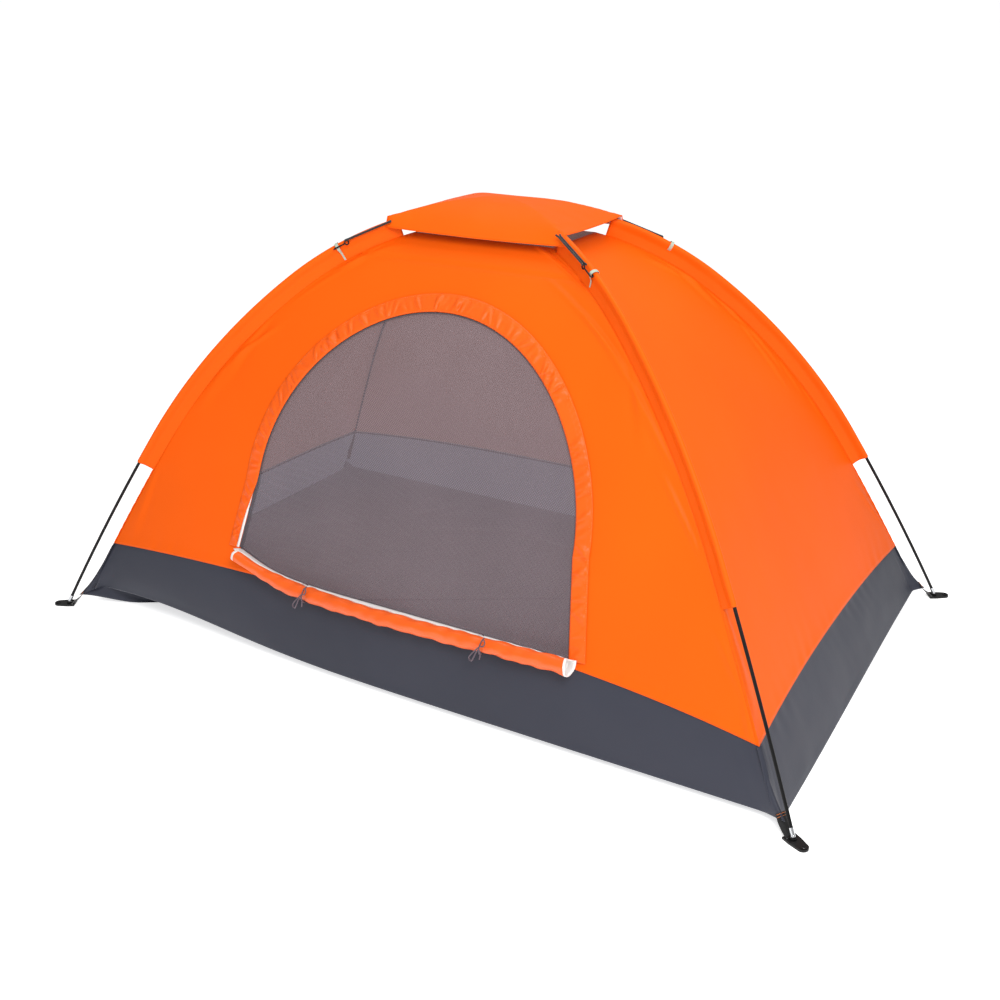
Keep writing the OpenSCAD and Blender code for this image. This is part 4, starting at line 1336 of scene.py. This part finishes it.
class TENT_OT_seams(bpy.types.Operator):
    """The corner seams, their bindings inside the tent and the stitches of the storm flap"""
    bl_idname = "tent.seams"
    bl_label = "Seams"

    def execute(self, context):
        s = sizes()
        for corner in CORNERS:
            out, side = corner_frame(corner)
            hem = HEM_CORNER[corner]
            sleeve = float(body_curve().at(s.sleeve_start + 0.01, s.seam_inset)[1])
            for name, z, wide, finish in (("band_seam_", np.linspace(0.045, hem, 20), 0.013, tub_cloth()),
                                          ("wall_seam_", np.linspace(hem, sleeve, 40), 0.004, tent_cloth())):
                r = corner_r(z)
                wobble = 0.6 * MM * np.sin(z * 260 + ord(corner[0]))
                path = (r + 0.2 * MM)[:, None] * out + z[:, None] * UP + wobble[:, None] * UP
                ribbon(name + corner, path, side, wide, 2.4 * MM, finish)
            d = seam_length_at(np.linspace(0.05, 0.9, 60))
            r, z, _ = body_curve().at(d, s.seam_inset + 0.008)
            tube("inner_seam_" + corner, r[:, None] * out + z[:, None] * UP, 2.8 * MM, seam_binding(), 8)
        for side in SIDES:
            u = np.linspace(-0.99, 0.99, 90)
            line = skin(side, u[None], seam_length_at(hem_z(side, u) + 0.004)[None], -4.5 * MM)[0]
            tube("inner_hem_" + side, line, 2.4 * MM, seam_binding(), 8)
        self.stitches()
        return {"FINISHED"}

    def stitches(self):
        """Two rows of stitches along the outer edge of the storm flap."""
        s = sizes()
        line = door_outline()
        out = door_outline(1.0) - line
        points, faces = [], []
        for gap in (0.0025, 0.0075):
            flat = line + (s.flap_w - gap) * out
            run = np.concatenate([[0], np.cumsum(np.linalg.norm(np.diff(flat, axis=0), axis=1))])
            for at in np.arange(0.004, run[-1] - 0.006, 0.0052):
                ends = np.array([[np.interp(at + k, run, flat[:, c]) for c in (0, 1)] for k in (0, 0.0034)])
                ends[:, 1] = np.maximum(ends[:, 1], sill_at(ends[:, 0]) + 0.001)
                low, high = (front_skin(ends[:, 0], ends[:, 1], lift) for lift in (1.2 * MM, 2.9 * MM))
                along = (high[1] - high[0]) / max(float(np.linalg.norm(high[1] - high[0])), 1e-9)
                side = np.cross(along, (0.0, -1.0, 0.0)) * 0.45 * MM
                base = len(points)
                points += [low[0] - side, low[0] + side, low[1] + side, low[1] - side,
                           high[0] - side, high[0] + side, high[1] + side, high[1] - side]
                faces += [tuple(base + k for k in face) for face in STITCH_FACES]
        piece("flap_stitching", points, faces, materials=[thread()])


def hook_side(corner):
    """Unit vectors out along a corner's diagonal and sideways towards its hook."""
    out, side = corner_frame(corner)
    return out, side if corner in LOWER else -side


# Sideways towards the hook and out of the tent, from the tail over the ridge to the far side
LOOP_ROUTE = ((0.0022, -0.038), (0.0030, -0.028), (0.0052, -0.018), (0.0105, -0.009), (0.0128, -0.001),
              (0.0118, 0.0045), (0.0070, 0.0080), (0.0, 0.0090), (-0.0060, 0.0060), (-0.0082, 0.0),
              (-0.0068, -0.008), (-0.0022, -0.014))


class TENT_OT_loops(bpy.types.Operator):
    """The webbing loops that the cover's hooks hold, and the elastics between hook and cover"""
    bl_idname = "tent.loops"
    bl_label = "Webbing loops"

    def execute(self, context):
        s = sizes()
        finish = webbing("polyester_webbing_sage", colours().sage)
        for corner in CORNERS:
            out, side = hook_side(corner)
            pole = corner_pole(corner)
            r, z, lean = pole.at(pole.half - s.loop_at)
            down = math.cos(lean) * out - math.sin(lean) * UP
            rise = math.sin(lean) * out + math.cos(lean) * UP
            flat = rounded([(0.0, y, h) for y, h in LOOP_ROUTE], 0.0012)
            place = r * out + z * UP + flat[:, 1:2] * side + flat[:, 2:] * rise
            share = np.linspace(0, 1, len(flat))
            width = 0.0045 + 0.0040 * smooth((share - 0.15) / 0.35)
            ribbon("webbing_loop_" + corner, place, down, width, 1.0 * MM, finish,
                   ["cover_loop_" + corner])
            self.elastic(corner)
        return {"FINISHED"}

    def elastic(self, corner):
        """The elastic between a hook and the cover, both strands drawn together in the middle."""
        out, side = hook_side(corner)
        s = sizes()
        pole = corner_pole(corner)
        low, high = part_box("cover_bungee_" + corner)
        centre = np.array((low + high) / 2)
        half = float((high - low).length) / 2 - 2.0 * MM
        lean = pole.at(pole.half - s.loop_at + 0.09)[2]
        down = math.cos(lean) * out - math.sin(lean) * UP
        run = np.linspace(-1, 1, 61)
        for k in (-1, 1):
            gap = 0.0030 + 0.0022 * smooth((np.abs(run) - 0.86) / 0.14)
            place = centre + run[:, None] * half * down + (k * gap)[:, None] * side
            tube("cover_elastic_%s_%d" % (corner, (k + 3) / 2), place, 2.3 * MM,
                 braid("elastic_cord_braided_black", colours().black, 2.0), 10,
                 replaces=["cover_bungee_" + corner] if k == 1 else ())


# ---------------------------------------------------------------- finishes of the CAD parts

class TENT_OT_fittings(bpy.types.Operator):
    """Finishes of the rods, ferrules, pole tips, shock cords, feet, hooks and sliders"""
    bl_idname = "tent.fittings"
    bl_label = "Fittings"

    def execute(self, context):
        finishes = (
            ("_rod_", fibreglass), ("ferrules", plated_steel), ("pole_tip", plated_steel),
            ("foot_", moulded_nylon), ("cover_hook", moulded_nylon), ("slider", zinc_slider),
            ("shock_cord", lambda: braid("elastic_cord_braided_white", colours().white)))
        for name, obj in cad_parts.items():
            if obj.hide_render:
                continue
            finish = next((make for key, make in finishes if key in name), None)
            if finish is None:
                raise RuntimeError("no finish for " + name)
            for index in range(max(1, len(obj.material_slots))):
                if not obj.material_slots:
                    obj.data.materials.append(finish())
                obj.material_slots[index].material = finish()
        return {"FINISHED"}


# ---------------------------------------------------------------- add-on

class TENT_PT_panel(bpy.types.Panel):
    """Lists the pieces of the tent"""
    bl_idname = "TENT_PT_panel"
    bl_label = "Dome tent"
    bl_space_type = "VIEW_3D"
    bl_region_type = "UI"
    bl_category = "Tent"

    def draw(self, context):
        for group in (context.scene.tent_sizes, context.scene.tent_colours):
            for name in group.__annotations__:
                self.layout.prop(group, name)
        for operator in OPERATORS:
            self.layout.operator(operator.bl_idname)


OPERATORS = (TENT_OT_stage, TENT_OT_ties, TENT_OT_walls, TENT_OT_tub, TENT_OT_sleeves, TENT_OT_flap,
             TENT_OT_door, TENT_OT_roll, TENT_OT_cover, TENT_OT_vent, TENT_OT_straps, TENT_OT_seams,
             TENT_OT_loops, TENT_OT_fittings)
CLASSES = (TentSizes, TentColours, *OPERATORS, TENT_PT_panel)


def register():
    for cls in CLASSES:
        bpy.utils.register_class(cls)
    bpy.types.Scene.tent_sizes = bpy.props.PointerProperty(type=TentSizes)
    bpy.types.Scene.tent_colours = bpy.props.PointerProperty(type=TentColours)


def unregister():
    del bpy.types.Scene.tent_colours
    del bpy.types.Scene.tent_sizes
    for cls in reversed(CLASSES):
        bpy.utils.unregister_class(cls)


def main():
    register()
    for operator in OPERATORS:
        group, name = operator.bl_idname.split(".")
        getattr(getattr(bpy.ops, group), name)()


if __name__ == "__main__":
    main()
